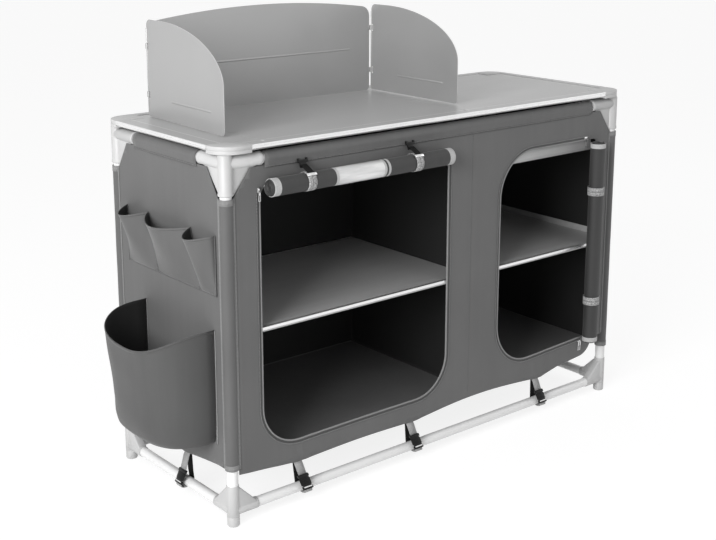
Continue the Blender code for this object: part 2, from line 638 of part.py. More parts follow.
def build_boards(board, covered_board):
    """The two shelves and the cupboard floor, a covered board with its front right corner cut away."""
    wall = HALF_X + INNER_FACE - CLEARANCE
    divider_gap = FABRIC / 2 + CLEARANCE
    left = board_outline(-wall, DIVIDER_X - divider_gap, True, False)
    right = board_outline(DIVIDER_X + divider_gap, wall, False, True)
    floor = board_outline(-wall, wall, True, True)
    corner_x = HALF_X - FLOOR_CORNER_X
    corner_y = FLOOR_CORNER_Y - HALF_Y
    front_y = -(HALF_Y + INNER_FACE - CLEARANCE)
    front_right = slice(6, 9)
    floor[front_right] = [(wall, corner_y), (corner_x, corner_y), (corner_x, front_y)]
    for name, outline, top, finish in (("shelf_left", left, SHELF_TOP, board),
                                       ("shelf_right", right, SHELF_TOP, board),
                                       ("floor_board", floor, FLOOR_TOP, covered_board)):
        make_node(name, plate(outline, BOARD), finish, at(0, 0, top - BOARD / 2))


def worktop_outline(left, right, at_left_end, at_right_end):
    """One worktop panel, cut away under the corner pieces where it reaches an end."""
    side = TOP_EDGE_Y - EDGE_WALL - CLEARANCE
    end = TOP_EDGE_X - EDGE_WALL - CLEARANCE
    notch_x = TOP_EDGE_X - CORNER_LENGTH_X - CLEARANCE
    notch_y = TOP_EDGE_Y - CORNER_LENGTH_Y - CLEARANCE
    left_end = [(-end, notch_y), (-notch_x, notch_y), (-notch_x, side)] if at_left_end else [(left, side)]
    right_end = [(notch_x, side), (notch_x, notch_y), (end, notch_y)] if at_right_end else [(right, side)]
    back = left_end + right_end
    return back + [(x, -y) for x, y in reversed(back)]


def edge_mesh(length, outward):
    """A folded aluminium edge along X, its wall at Y = 0 and its lips running inward."""
    inner = -outward
    wall = EDGE_WALL * inner
    profile = [(0, 0), (EDGE_LIP * inner, 0), (EDGE_LIP * inner, -EDGE_WALL), (wall, -EDGE_WALL),
               (wall, EDGE_WALL - EDGE_HEIGHT), (EDGE_LOWER_LIP * inner, EDGE_WALL - EDGE_HEIGHT),
               (EDGE_LOWER_LIP * inner, -EDGE_HEIGHT), (0, -EDGE_HEIGHT)]
    return turned(plate(profile, length), FACING_SIDE)


def corner_mesh():
    """The front left corner piece, with the peg that drops into its connector."""
    inner_x = CORNER_LENGTH_X - TOP_EDGE_X
    inner_y = CORNER_LENGTH_Y - TOP_EDGE_Y
    outline = rounded([(-TOP_EDGE_X, -TOP_EDGE_Y, CORNER_RADIUS), (inner_x, -TOP_EDGE_Y, 0),
                       (inner_x, inner_y, 0), (-TOP_EDGE_X, inner_y, 0)])
    middle = WORKTOP_HEIGHT - CORNER_HEIGHT / 2
    cap = turned(plate(outline, CORNER_HEIGHT), at(0, 0, middle))
    peg_foot = WORKTOP_HEIGHT - CORNER_HEIGHT - PEG_LENGTH
    peg = turned(rod(PEG_RADIUS, peg_foot, middle), at(-HALF_X, -HALF_Y, 0))
    return fuse(cap, [peg])


def mirrored_mesh(mesh, flip_x, flip_y):
    """A mirror image of a mesh in X, in Y or in both."""
    bm = bmesh.new()
    bm.from_mesh(mesh)
    bm.transform(Matrix.Diagonal((-1 if flip_x else 1, -1 if flip_y else 1, 1, 1)))
    face_outwards(bm)
    copy = bpy.data.meshes.new(mesh.name)
    bm.to_mesh(copy)
    bm.free()
    return copy


def build_worktop(board, metal, plastic):
    """Three panels, four edges and four corners that lift off together."""
    middle = BOARD_TOP - PANEL_THICKNESS / 2
    half_seam = SEAM / 2
    for name, outline in (
            ("worktop_panel_left", worktop_outline(0, SEAM_LEFT_X - half_seam, True, False)),
            ("worktop_panel_centre", worktop_outline(SEAM_LEFT_X + half_seam, SEAM_RIGHT_X - half_seam,
                                                     False, False)),
            ("worktop_panel_right", worktop_outline(SEAM_RIGHT_X + half_seam, 0, False, True))):
        make_node(name, plate(outline, PANEL_THICKNESS), board, at(0, 0, middle))
    long_edge = 2 * (TOP_EDGE_X - CORNER_LENGTH_X - CLEARANCE)
    short_edge = 2 * (TOP_EDGE_Y - CORNER_LENGTH_Y - CLEARANCE)
    quarter = Matrix.Rotation(math.radians(90), 4, "Z")
    for name, length, outward, place in (
            ("worktop_edge_front", long_edge, -1, at(0, -TOP_EDGE_Y, WORKTOP_HEIGHT)),
            ("worktop_edge_back", long_edge, 1, at(0, TOP_EDGE_Y, WORKTOP_HEIGHT)),
            ("worktop_edge_left", short_edge, 1, at(-TOP_EDGE_X, 0, WORKTOP_HEIGHT, quarter)),
            ("worktop_edge_right", short_edge, -1, at(TOP_EDGE_X, 0, WORKTOP_HEIGHT, quarter))):
        make_node(name, edge_mesh(length, outward), metal, place)
    corner = corner_mesh()
    for name, signs in CORNERS.items():
        mesh = mirrored_mesh(corner, signs[0] > 0, signs[1] > 0)
        place_mesh("worktop_corner_" + name, mesh, plastic, smooth=True)


def screen_back_outline():
    """The windscreen's back, its top a shallow arch with rounded shoulders."""
    half = (SCREEN_RIGHT_X - SCREEN_LEFT_X) / 2 - KNUCKLE_OUTER - CLEARANCE
    rise = SCREEN_MIDDLE_HEIGHT - SCREEN_END_HEIGHT
    arch = []
    for step in range(ARCH_STEPS + 1):
        x = (half - SCREEN_SHOULDER_RUN) * (1 - 2 * step / ARCH_STEPS)
        arch.append((x, SCREEN_END_HEIGHT + rise * (1 - (x / half) ** 2), 0))
    feet = [(-half, 0, SCREEN_LOWER_RADIUS), (half, 0, SCREEN_LOWER_RADIUS)]
    right = (half, SCREEN_END_HEIGHT, SCREEN_SHOULDER_RADIUS)
    left = (-half, SCREEN_END_HEIGHT, SCREEN_SHOULDER_RADIUS)
    return rounded(feet + [right] + arch + [left])


def build_windscreen(sheet_metal):
    """A back panel with knuckles at its ends, and two wings that swing on them."""
    centre_x = (SCREEN_LEFT_X + SCREEN_RIGHT_X) / 2
    half_span = (SCREEN_RIGHT_X - SCREEN_LEFT_X) / 2
    sheet = turned(plate(screen_back_outline(), SCREEN), at(0, SCREEN_BACK_SETBACK, 0, FACING_FRONT))
    knuckles = []
    bores = []
    for x in (-half_span, half_span):
        inward = -math.copysign(1, x)
        for height in KNUCKLE_HEIGHTS:
            low = height - KNUCKLE_LENGTH / 2
            high = height + KNUCKLE_LENGTH / 2
            knuckles.append(turned(rod(KNUCKLE_OUTER, low, high, KNUCKLE_SIDES), at(x, 0, 0)))
            near = KNUCKLE_INNER + KNUCKLE_TAB_LAP
            far = SCREEN_BACK_SETBACK + SCREEN / 2
            knuckles.append(block((KNUCKLE_OUTER * 2, far - near, KNUCKLE_LENGTH),
                                  (x + inward * KNUCKLE_OUTER, (near + far) / 2, height)))
            bore = rod(KNUCKLE_INNER, low - THROUGH, high + THROUGH, KNUCKLE_SIDES)
            bores.append(turned(bore, at(x, 0, 0)))
    back = fuse(sheet, knuckles, bores)
    place_mesh("windscreen_back", back, sheet_metal, at(centre_x, SCREEN_HINGE_Y, SCREEN_FOOT))
    wing = wing_mesh()
    for name, x, degrees in (("windscreen_wing_left", SCREEN_LEFT_X, WING_LEFT_REST_DEGREES),
                             ("windscreen_wing_right", SCREEN_RIGHT_X, WING_RIGHT_REST_DEGREES)):
        turn = Matrix.Rotation(math.radians(-90 - degrees), 4, "Z")
        place_mesh(name, wing, sheet_metal, at(x, SCREEN_HINGE_Y, SCREEN_FOOT, turn))


def wing_mesh():
    """A wing along +X from its hinge bead on Z, its top curving down to the front."""
    start = HINGE_BEAD_RADIUS / 2
    drop = WING_HEIGHT - WING_FRONT_HEIGHT
    reach = WING_LENGTH - WING_FLAT_RUN
    curve = []
    for step in range(WING_STEPS + 1):
        angle = math.pi / 2 * (1 - step / WING_STEPS)
        x = WING_FLAT_RUN + reach * math.sin(angle)
        curve.append((x, WING_FRONT_HEIGHT + drop * math.cos(angle), 0))
    lower = [(start, WING_FOOT, WING_FOOT), (WING_LENGTH, WING_FOOT, WING_FRONT_RADIUS)]
    outline = rounded(lower + curve + [(start, WING_HEIGHT, WING_BACK_RADIUS)])
    sheet = turned(plate(outline, SCREEN), FACING_FRONT)
    notch = (2 * KNUCKLE_NOTCH, THROUGH, KNUCKLE_LENGTH + 2 * KNUCKLE_NOTCH_MARGIN)
    leaf = fuse(sheet, cuts=[block(notch, (0, 0, height)) for height in KNUCKLE_HEIGHTS])
    bm = bmesh.new()
    bm.from_mesh(leaf)
    bead = rod(HINGE_BEAD_RADIUS, HINGE_BEAD_FOOT, WING_HEIGHT - HINGE_BEAD_DROP, KNUCKLE_SIDES)
    return fuse(bm, [bead])


def grid_sheet(rows):
    """An open curved sheet through rows of points."""
    bm = bmesh.new()
    grid = [[bm.verts.new(point) for point in row] for row in rows]
    for low, high in zip(grid, grid[1:]):
        for i in range(len(low) - 1):
            bm.faces.new((low[i], low[i + 1], high[i + 1], high[i]))
    bmesh.ops.remove_doubles(bm, verts=bm.verts, dist=WELD)
    return bm


def lower_pocket_rows():
    """The lower pocket's outer surface: D-shaped sections from a drawn-in bottom to a sagging rim."""
    middle = (LOWER_POCKET_FRONT_Y + LOWER_POCKET_BACK_Y) / 2
    half = (LOWER_POCKET_BACK_Y - LOWER_POCKET_FRONT_Y) / 2
    rows = []
    for rise, depth_share, width_share in LOWER_POCKET_SECTIONS:
        row = []
        for step in range(LOWER_POCKET_STEPS + 1):
            angle = math.pi * step / LOWER_POCKET_STEPS
            side = -math.cos(angle)
            out = math.sin(angle)
            across = math.copysign(abs(side) ** LOWER_POCKET_SIDE_POWER, side)
            x = -LOWER_POCKET_DEPTH * depth_share * out ** LOWER_POCKET_FRONT_POWER
            top = LOWER_POCKET_RIM - LOWER_POCKET_RIM_SAG * out ** 2
            row.append((x, middle + half * width_share * across,
                        LOWER_POCKET_BOTTOM + (top - LOWER_POCKET_BOTTOM) * rise))
        rows.append(row)
    rows.insert(0, [(0.0, point[1], point[2] + LOWER_POCKET_TUCK) for point in rows[0]])
    return rows


def build_lower_pocket(cloth):
    """The big open pocket low on the left side."""
    bm = grid_sheet(lower_pocket_rows())
    bmesh.ops.solidify(bm, geom=bm.faces[:], thickness=-FABRIC)
    make_node("lower_pocket", bm, cloth, at(POCKET_FACE_X, 0, 0))


def build_utensil_pockets(cloth):
    """One strip sewn down in three, each part standing open at the top."""
    low, high = zip(*((UTENSIL_FRONT_Y, UTENSIL_FRONT_Y),
                      tuple(UTENSIL_FRONT_Y + run for run in UTENSIL_FIRST_SEAM),
                      tuple(UTENSIL_BACK_Y - run for run in UTENSIL_SECOND_SEAM),
                      (UTENSIL_BACK_Y, UTENSIL_BACK_Y)))
    rows = []
    for level in range(UTENSIL_LEVELS + 1):
        share = level / UTENSIL_LEVELS
        lines = [first + (last - first) * share for first, last in zip(low, high)]
        row = [(-FABRIC, lines[0])]
        for left, right in zip(lines, lines[1:]):
            for step in range(1, UTENSIL_STEPS + 1):
                along = step / UTENSIL_STEPS
                bulge = UTENSIL_BULGE * share ** UTENSIL_BULGE_POWER * math.sin(math.pi * along)
                row.append((-bulge - FABRIC, left + (right - left) * along))
        height = UTENSIL_BOTTOM + (UTENSIL_TOP - UTENSIL_BOTTOM) * share
        rows.append([(x, y, height) for x, y in row])
    bm = grid_sheet(rows)
    inner = bmesh.ops.extrude_face_region(bm, geom=bm.faces[:])["geom"]
    moved = [item for item in inner if isinstance(item, bmesh.types.BMVert)]
    bmesh.ops.translate(bm, verts=moved, vec=(FABRIC, 0, 0))
    make_node("utensil_pockets", bm, cloth, at(POCKET_FACE_X, 0, 0))


def roll_outline(half_width, half_depth):
    """The end view of rolled cloth: a full oval, with the step of its free edge."""
    points = []
    for step in range(ROLL_SIDES + 1):
        angle = 2 * math.pi * step / ROLL_SIDES
        shrink = ROLL_STEP * step / ROLL_SIDES
        points.append(((half_width - shrink) * math.cos(angle), (half_depth - shrink) * math.sin(angle)))
    return points


def band_mesh(half_width, half_depth, tab_size, tab_centre, lying=None):
    """A flat band round a roll, its axis along Z unless it is laid over, and the tab it is sewn on by."""
    wall = CLEARANCE + BAND
    grow = Matrix.Diagonal((half_width + wall, half_depth + wall, 1, 1))
    fit = Matrix.Diagonal((half_width + CLEARANCE, half_depth + CLEARANCE, 1, 1))
    turn = lying or Matrix.Identity(4)
    outer = turned(rod(1, -BAND_WIDTH / 2, BAND_WIDTH / 2, ROLL_SIDES), turn @ grow)
    inner = turned(rod(1, -BAND_WIDTH, BAND_WIDTH, ROLL_SIDES), turn @ fit)
    return fuse(outer, [block(tab_size, tab_centre)], [inner])


def build_doors(cloth, elastic):
    """The two rolled-up doors, each held by two bands."""
    left_end, right_end = LEFT_ROLL_ENDS_X
    middle = (left_end + right_end) / 2
    outline = roll_outline(LEFT_ROLL_RADIUS, LEFT_ROLL_RADIUS)
    roll = turned(plate(outline, right_end - left_end), FACING_SIDE)
    make_node("door_roll_left", roll, cloth, at(middle, LEFT_ROLL_Y, LEFT_ROLL_HEIGHT), smooth=True)
    low, high = RIGHT_ROLL_ENDS
    roll = plate(roll_outline(RIGHT_ROLL_HALF_WIDTH, RIGHT_ROLL_HALF_DEPTH), high - low)
    place = at(RIGHT_ROLL_X, RIGHT_ROLL_Y, (low + high) / 2)
    make_node("door_roll_right", roll, cloth, place, smooth=True)

    tab_y = -(BAND_BACK + BAND / 2)
    foot = LEFT_ROLL_RADIUS * TAB_START
    tab = (TAB_WIDTH, BAND, LEFT_BAND_TAB_RISE - foot)
    tab_centre = (0, tab_y - LEFT_ROLL_Y, (LEFT_BAND_TAB_RISE + foot) / 2)
    band = band_mesh(LEFT_ROLL_RADIUS, LEFT_ROLL_RADIUS, tab, tab_centre, LYING_ALONG_X)
    for number, x in enumerate(LEFT_BANDS_X, 1):
        place_mesh(f"door_band_left_{number}", band, elastic, at(x, LEFT_ROLL_Y, LEFT_ROLL_HEIGHT))
    foot = RIGHT_ROLL_HALF_WIDTH * TAB_START
    band = band_mesh(RIGHT_ROLL_HALF_WIDTH, RIGHT_ROLL_HALF_DEPTH, (RIGHT_BAND_TAB_END - foot, BAND, TAB_WIDTH),
                     ((RIGHT_BAND_TAB_END + foot) / 2, tab_y - RIGHT_ROLL_Y, 0))
    for name, height in zip(("lower", "upper"), RIGHT_BANDS_HEIGHT):
        place_mesh(f"door_band_right_{name}", band, elastic, at(RIGHT_ROLL_X, RIGHT_ROLL_Y, height))


def bevelled(bm, width):
    """The bmesh, with every edge taken off."""
    bmesh.ops.bevel(bm, geom=bm.edges[:], offset=width, segments=1, affect="EDGES", profile=0.5,
                    material=-1)
    return bm


def strap_mesh(hem_height):
    """A webbing loop from the hem round a bottom rail, with its buckle on the outer side.

    X runs along the rail, outward is -Y and the rail's axis is at the origin.
    """
    inner = RAIL_RADIUS + SLEEVE_GAP
    apex = Vector((-OUTER_FACE - CLEARANCE - STRAP, hem_height - BOTTOM_RAIL_HEIGHT - CLEARANCE))
    distance = apex.length
    heading = math.atan2(apex.y, apex.x)
    open_angle = math.acos(inner / distance)
    loops = []
    for radius, tip in ((inner, apex), (inner + STRAP, apex + Vector((0, STRAP * 2)))):
        loop = [tuple(tip)]
        sweep = 2 * math.pi - 2 * open_angle
        for step in range(STRAP_STEPS + 1):
            angle = heading + open_angle + sweep * step / STRAP_STEPS
            loop.append((radius * math.cos(angle), radius * math.sin(angle)))
        loops.append(loop)
    hole, outline = loops
    loop = turned(plate(outline, STRAP_WIDTH, [hole]), FACING_SIDE)
    tab = block((STRAP_WIDTH, STRAP, STRAP_TAB + STRAP),
                (0, apex.x + STRAP / 2, apex.y + STRAP_TAB / 2))
    buckle_y = -inner - STRAP - BUCKLE_SIZE[1] / 2 + BUCKLE_LAP
    buckle = bevelled(block(BUCKLE_SIZE, (0, buckle_y, BUCKLE_HEIGHT - BOTTOM_RAIL_HEIGHT)), BUCKLE_BEVEL)
    return fuse(loop, [tab, buckle])


def build_straps(webbing):
    """The straps that hold the hem down."""
    front = strap_mesh(HEM_AT_STRAP)
    side = strap_mesh(SIDE_HEM_AT_STRAP)
    for number, x in enumerate(FRONT_STRAPS_X, 1):
        place_mesh(f"tension_strap_front_{number}", front, webbing, at(x, -HALF_Y, BOTTOM_RAIL_HEIGHT))
    half_turn = Matrix.Rotation(math.radians(180), 4, "Z")
    for number, x in enumerate(BACK_STRAPS_X, 1):
        place_mesh(f"tension_strap_back_{number}", front, webbing,
                   at(x, HALF_Y, BOTTOM_RAIL_HEIGHT, half_turn))
    for name, sign in (("left", -1), ("right", 1)):
        turn = Matrix.Rotation(math.radians(90 * sign), 4, "Z")
        place_mesh("tension_strap_" + name, side, webbing,
                   at(sign * HALF_X, SIDE_STRAP_Y, BOTTOM_RAIL_HEIGHT, turn))


def build_zip_sliders(metal):
    """A slider with its hanging pull at each end of the zips."""
    width, depth, height = SLIDER_BODY
    body = bevelled(block(SLIDER_BODY), SLIDER_BEVEL)
    pull_depth, pull_length = SLIDER_PULL[1:]
    pull = block(SLIDER_PULL, (0, -depth / 2 - pull_depth / 2 + SLIDER_PULL_LAP, -pull_length / 2))
    slider = fuse(body, [pull])
    y = -(HALF_Y + OUTER_FACE + CLEARANCE + depth / 2)
    left, _, _, left_top = LEFT_DOORWAY
    _, right, bottom, right_top = RIGHT_DOORWAY
    lower_edge = bottom + RIGHT_DOORWAY_BOTTOM_RISE * RIGHT_BOTTOM_SLIDER_SHARE
    for name, x, z in (
            ("zip_slider_left", left - width / 2, left_top - LEFT_SLIDER_DROP),
            ("zip_slider_right_top", right - RIGHT_TOP_SLIDER_INSET, right_top + height / 2),
            ("zip_slider_right_bottom", right - RIGHT_BOTTOM_SLIDER_INSET, lower_edge - height)):
        place_mesh(name, slider, metal, at(x, y, z))


def main():
    """Build every piece under one empty at the model's origin."""
    for old in list(bpy.data.objects):
        bpy.data.objects.remove(old)
    origin = bpy.data.objects.new("model_origin", None)
    bpy.context.collection.objects.link(origin)
    origin.location = ORIGIN
    bpy.context.view_layer.update()

    white_tube = make_material("white_tube", (0.86, 0.86, 0.86), 0.35)
    grey_plastic = make_material("grey_plastic", (0.70, 0.70, 0.70), 0.5)
    grey_cloth = make_material("grey_cloth", (0.16, 0.16, 0.165), 0.85)
    black_lining = make_material("black_lining", (0.015, 0.015, 0.016), 0.85)
    grey_board = make_material("grey_board", (0.24, 0.24, 0.245), 0.5)
    worktop_board = make_material("worktop_board", (0.42, 0.42, 0.43), 0.5)
    bright_edge = make_material("bright_edge", (0.91, 0.91, 0.91), 0.3, 0.9)
    screen_metal = make_material("screen_metal", (0.42, 0.42, 0.43), 0.45, 0.6)
    pale_elastic = make_material("pale_elastic", (0.45, 0.45, 0.45), 0.8)
    strap_webbing = make_material("strap_webbing", (0.36, 0.36, 0.36), 0.8)
    zip_metal = make_material("zip_metal", (0.75, 0.75, 0.76), 0.25, 1.0)

    build_frame(grey_plastic, white_tube)
    build_fabric(grey_cloth, black_lining)
    build_boards(grey_board, black_lining)
    build_worktop(worktop_board, bright_edge, grey_plastic)
    build_windscreen(screen_metal)
    build_lower_pocket(grey_cloth)
    build_utensil_pockets(grey_cloth)
    build_doors(grey_cloth, pale_elastic)
    build_straps(strap_webbing)
    build_zip_sliders(zip_metal)


main()
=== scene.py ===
"""Camp kitchen: the looks of its frame, worktop, windscreen, hanging cupboard, pockets and doors.

Metres, +Z up, X along the long front, the front facing -Y. Places are measured from the middle
between the four legs, and every piece is moved under the frame's own middle when it is finished.
"""
import math

import bmesh
import bpy
from mathutils import Matrix, Vector, noise


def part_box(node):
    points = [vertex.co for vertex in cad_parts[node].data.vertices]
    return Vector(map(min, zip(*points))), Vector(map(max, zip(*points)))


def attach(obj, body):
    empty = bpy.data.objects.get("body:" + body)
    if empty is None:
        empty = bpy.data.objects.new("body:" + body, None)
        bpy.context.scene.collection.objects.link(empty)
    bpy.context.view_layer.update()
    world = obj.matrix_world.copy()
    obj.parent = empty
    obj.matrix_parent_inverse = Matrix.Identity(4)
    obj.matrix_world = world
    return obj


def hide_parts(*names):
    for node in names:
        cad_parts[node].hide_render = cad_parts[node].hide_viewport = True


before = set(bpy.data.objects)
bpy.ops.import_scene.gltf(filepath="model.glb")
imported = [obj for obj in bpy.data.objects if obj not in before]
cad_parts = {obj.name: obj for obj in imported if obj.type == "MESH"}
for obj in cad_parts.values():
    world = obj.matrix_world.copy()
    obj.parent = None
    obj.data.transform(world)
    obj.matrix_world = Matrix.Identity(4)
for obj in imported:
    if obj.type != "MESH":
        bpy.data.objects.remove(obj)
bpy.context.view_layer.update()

# Frame, repeating the part's sizes
HALF_X = 0.58
HALF_Y = 0.21
TOP = 0.80
EDGE_X = 0.602
EDGE_Y = 0.232
LEG_RADIUS = 0.012
RAIL_RADIUS = 0.011
TUBE_WALL = 0.0012
LEG_ENDS = (0.0103, 0.7697)
RAIL_START = 0.0185
RAIL_HEIGHTS = {"bottom": 0.034, "top": 0.766}

# Connectors
LEG_BORE = 0.0123
RAIL_BORE = 0.0113
SOCKET_RADIUS = 0.0145
COLLAR_RADIUS = 0.0135
FOOT_RADIUS = 0.0132
FOOT_COLLAR_RADIUS = 0.0122
FOOT_REACH = 0.058
TOP_SOCKET = (0.7007, 0.7837)
TOP_REACH = 0.083
PEG_HOLE = 0.0065

# Worktop: its corner pieces' reach along both edges, and where the folded edges end beside them
CORNER_REACH = (0.072, 0.055)
EDGE_ENDS = (EDGE_X - 0.0723, EDGE_Y - 0.0553)
BOARD_INSET = 0.0024
LINE_INSET = 0.037

# Cloth
FABRIC = 0.0015
THREAD = 0.0011
FACE = 0.00875
INNER_FACE = 0.00725
SLEEVE_RADIUS = 0.0144
SLEEVE_ENDS = (0.125, 0.695)
RAIL_SLEEVE_RADIUS = 0.0134
WALL_END = HALF_X - 0.0117
SIDE_WALL_END = HALF_Y - 0.0112
SHOULDER = 0.7522
SEAM_HEIGHT = 0.7500
SHOULDER_X = 0.493
SLOPE_X = 0.528
SHOULDER_Y = 0.123
SLOPE_Y = 0.158
CELL = 0.014

# Boards and the divider
FLOOR_TOP = 0.130
SHELF_TOP = 0.415
BOARD = 0.009
BOARD_X = HALF_X + INNER_FACE - 0.0003
BOARD_Y = HALF_Y + INNER_FACE - 0.0003
LEG_NOTCH = (HALF_X - 0.0175, HALF_Y - 0.0175)
DIVIDER_X = 0.085
DIVIDER_GAP = FABRIC / 2 + 0.0003

# Doorways as left, right, bottom and top
LEFT_DOORWAY = (-0.505, 0.010, 0.150, 0.715)
RIGHT_DOORWAY = (0.180, 0.516, 0.158, 0.685)
DOORWAY_STEPS = 14

# Straps that pull the hem down
STRAP_WIDTH = 0.022
STRAP_LEAN = {"front": 0.018, "back": 0.012, "left": -0.018, "right": 0.012}
FRONT_STRAPS = (-0.410, -0.090, 0.330)
BACK_STRAPS = (-0.300, 0.300)
SIDE_STRAP_Y = -0.040
HEM_AT_STRAP = 0.098
HEM_END = 0.112
SIDE_HEM_AT_STRAP = 0.108
SIDE_HEM_END = 0.1253
FRONT_RIGHT_HEM = 0.161

# Windscreen
SCREEN = 0.0012
SCREEN_LEFT_X = -0.516
SCREEN_RIGHT_X = 0.120
HINGE_Y = 0.180
SCREEN_FOOT = 0.799
KNUCKLE_HEIGHTS = (0.050, 0.155)

# Rolled doors
LEFT_ROLL = (-0.500, -0.0025)
LEFT_ROLL_Y = -0.24105
LEFT_ROLL_Z = 0.711
LEFT_ROLL_RADIUS = 0.0203
RIGHT_ROLL = (0.160, 0.682)
RIGHT_ROLL_X = 0.498
RIGHT_ROLL_Y = -0.24055
RIGHT_ROLL_HALF = (0.0213, 0.0198)
LEFT_BANDS = (-0.403, -0.112)
RIGHT_BANDS = {"lower": 0.273, "upper": 0.557}

# Lower pocket: at each share of its height, the shares of its depth and width
POCKET_X = -0.58905
POCKET_DEPTH = 0.146
POCKET_SPAN = (-0.172, 0.098)
POCKET_HEIGHTS = (0.168, 0.418)
POCKET_SECTIONS = ((0.00, 0.62, 0.90), (0.02, 0.78, 0.94), (0.07, 0.85, 0.97), (0.16, 0.88, 0.99),
                   (0.35, 0.91, 1.00), (0.65, 0.95, 1.00), (0.85, 0.98, 1.00), (1.00, 1.00, 1.00))

# Tool pockets: the foot and the top of each line that sews them down
TOOLS_HEIGHTS = (0.491, 0.617)
TOOLS_LINES = ((-0.184, -0.184), (-0.124, -0.094), (0.039, 0.073), (0.161, 0.161))

ROUND_SIDES = 48
WHITE = (1, 1, 1, 1)
UPRIGHT = (1, 1, 0.04)

legs = [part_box("leg_" + corner) for corner in ("front_left", "back_right")]
ORIGIN = (legs[0][0] + legs[0][1] + legs[1][0] + legs[1][1]) / 4
ORIGIN.z = 0.0

STANDING = Matrix.Rotation(math.radians(90), 4, "X")
FACING = {
    "front": STANDING,
    "right": Matrix.Rotation(math.radians(90), 4, "Z") @ STANDING,
    "back": Matrix.Rotation(math.radians(180), 4, "Z") @ STANDING,
    "left": Matrix.Rotation(math.radians(-90), 4, "Z") @ STANDING,
}
ALONG_X = Matrix.Rotation(math.radians(90), 4, "Y")
ALONG_Y = Matrix.Rotation(math.radians(-90), 4, "X")
CORNERS = {
    "front_left": (-1, -1, 0),
    "front_right": (1, -1, 90),
    "back_right": (1, 1, 180),
    "back_left": (-1, 1, 270),
}


def at(x, y, z, turn=None):
    """A place, with an optional turn before it."""
    move = Matrix.Translation((x, y, z))
    return move @ turn if turn else move


class Value:
    """A number or colour among nodes. Arithmetic on it adds Math nodes."""

    def __init__(self, nodes, socket):
        self.nodes = nodes
        self.socket = socket

    def work(self, operation, *values):
        return self.nodes.node("ShaderNodeMath", {"operation": operation}, values)

    def __add__(self, other):
        return self.work("ADD", self, other)

    def __sub__(self, other):
        return self.work("SUBTRACT", self, other)

    def __rsub__(self, other):
        return self.work("SUBTRACT", other, self)

    def __mul__(self, other):
        return self.work("MULTIPLY", self, other)

    __radd__ = __add__
    __rmul__ = __mul__

    def wave(self, pitch):
        """A ripple from -1 to 1 that repeats at a pitch."""
        return self.work("SINE", self * (2 * math.pi / pitch))

    def size(self):
        return self.work("ABSOLUTE", self)

    def below(self, level):
        return self.work("LESS_THAN", self, level)

    def within(self, middle, half):
        """One inside a band and nothing outside it."""
        return self.work("COMPARE", self, middle, half)

    def share_of(self, pitch):
        """How far along its repeat a place is."""
        return self.work("FRACT", self * (1 / pitch))


class Nodes:
    """A material's or the world's nodes, each made by one call."""

    def __init__(self, tree):
        self.tree = tree

    def join(self, socket, value):
        if isinstance(value, Value):
            self.tree.links.new(value.socket, socket)
        else:
            socket.default_value = value

    def node(self, kind, settings=None, inputs=(), output=0):
        """A node with its settings, then its inputs, as one of its outputs."""
        made = self.tree.nodes.new(kind)
        for setting, value in (settings or {}).items():
            setattr(made, setting, value)
        pairs = inputs.items() if isinstance(inputs, dict) else enumerate(inputs)
        for socket, value in pairs:
            self.join(made.inputs[socket], value)
        return Value(self, made.outputs[output])

    def seen_directly(self):
        """One for rays from the camera and from gloss, which see the white background."""
        rays = [self.node("ShaderNodeLightPath", output=ray) for ray in ("Is Camera Ray", "Is Glossy Ray")]
        return rays[0] + rays[1]


class Finish(Nodes):
    """A material whose colour, gloss and relief come from nodes."""

    def __init__(self, name, roughness, metallic=0.0, **fixed):
        self.material = bpy.data.materials.new(name)
        self.material.use_nodes = True
        super().__init__(self.material.node_tree)
        self.shader = self.tree.nodes["Principled BSDF"]
        self.roughness = roughness
        self.set("Roughness", roughness)
        self.set("Metallic", metallic)
        for socket, value in fixed.items():
            self.set(socket.replace("_", " "), value)

    def set(self, socket, value):
        """Set or link one of the shader's own sockets."""
        self.join(self.shader.inputs[socket], value)

    def place(self):
        return self.node("ShaderNodeTexCoord", output="Object")

    def parts(self, vector):
        """A vector's three numbers."""
        first = self.node("ShaderNodeSeparateXYZ", inputs=(vector,))
        return [Value(self, socket) for socket in first.socket.node.outputs]

    def tape_place(self):
        """How far along and across its own tape or sheet a point is, in metres."""
        return self.parts(self.node("ShaderNodeTexCoord", output="UV"))[:2]

    def noise(self, scale, detail=2.0, stretch=(1, 1, 1)):
        laid = self.node("ShaderNodeMapping", inputs={"Vector": self.place(), "Scale": stretch})
        return self.node("ShaderNodeTexNoise", inputs={"Vector": laid, "Scale": scale, "Detail": detail})

    def weave(self):
        """Fine threads that cross at right angles."""
        x, y, z = self.parts(self.place())
        return (x + y).wave(THREAD) * z.wave(THREAD)

    def between(self, share, first, second):
        """A colour between two colours."""
        return self.node("ShaderNodeMix", {"data_type": "RGBA"}, {0: share, 6: first, 7: second}, 2)

    def spread(self, value, low, high, to_low=0.0, to_high=1.0):
        """A value's range laid over another one."""
        return self.node("ShaderNodeMapRange", None, (value, low, high, to_low, to_high))

    def colour(self, share, first, second):
        self.set("Base Color", self.between(share, first, second))

    def uneven_gloss(self, value, less, more):
        """Let the roughness follow a value a little below and above its own level."""
        self.set("Roughness", self.spread(value, 0.3, 0.7, self.roughness - less, self.roughness + more))

    def relief(self, height, distance):
        self.set("Normal", self.node("ShaderNodeBump", None, {"Distance": distance, "Height": height}))


def grey(level):
    """A grey as it looks on a screen, from 0 to 255, as the colour that a shader takes."""
    light = ((level / 255 + 0.055) / 1.055) ** 2.4
    return (light, light, light, 1.0)


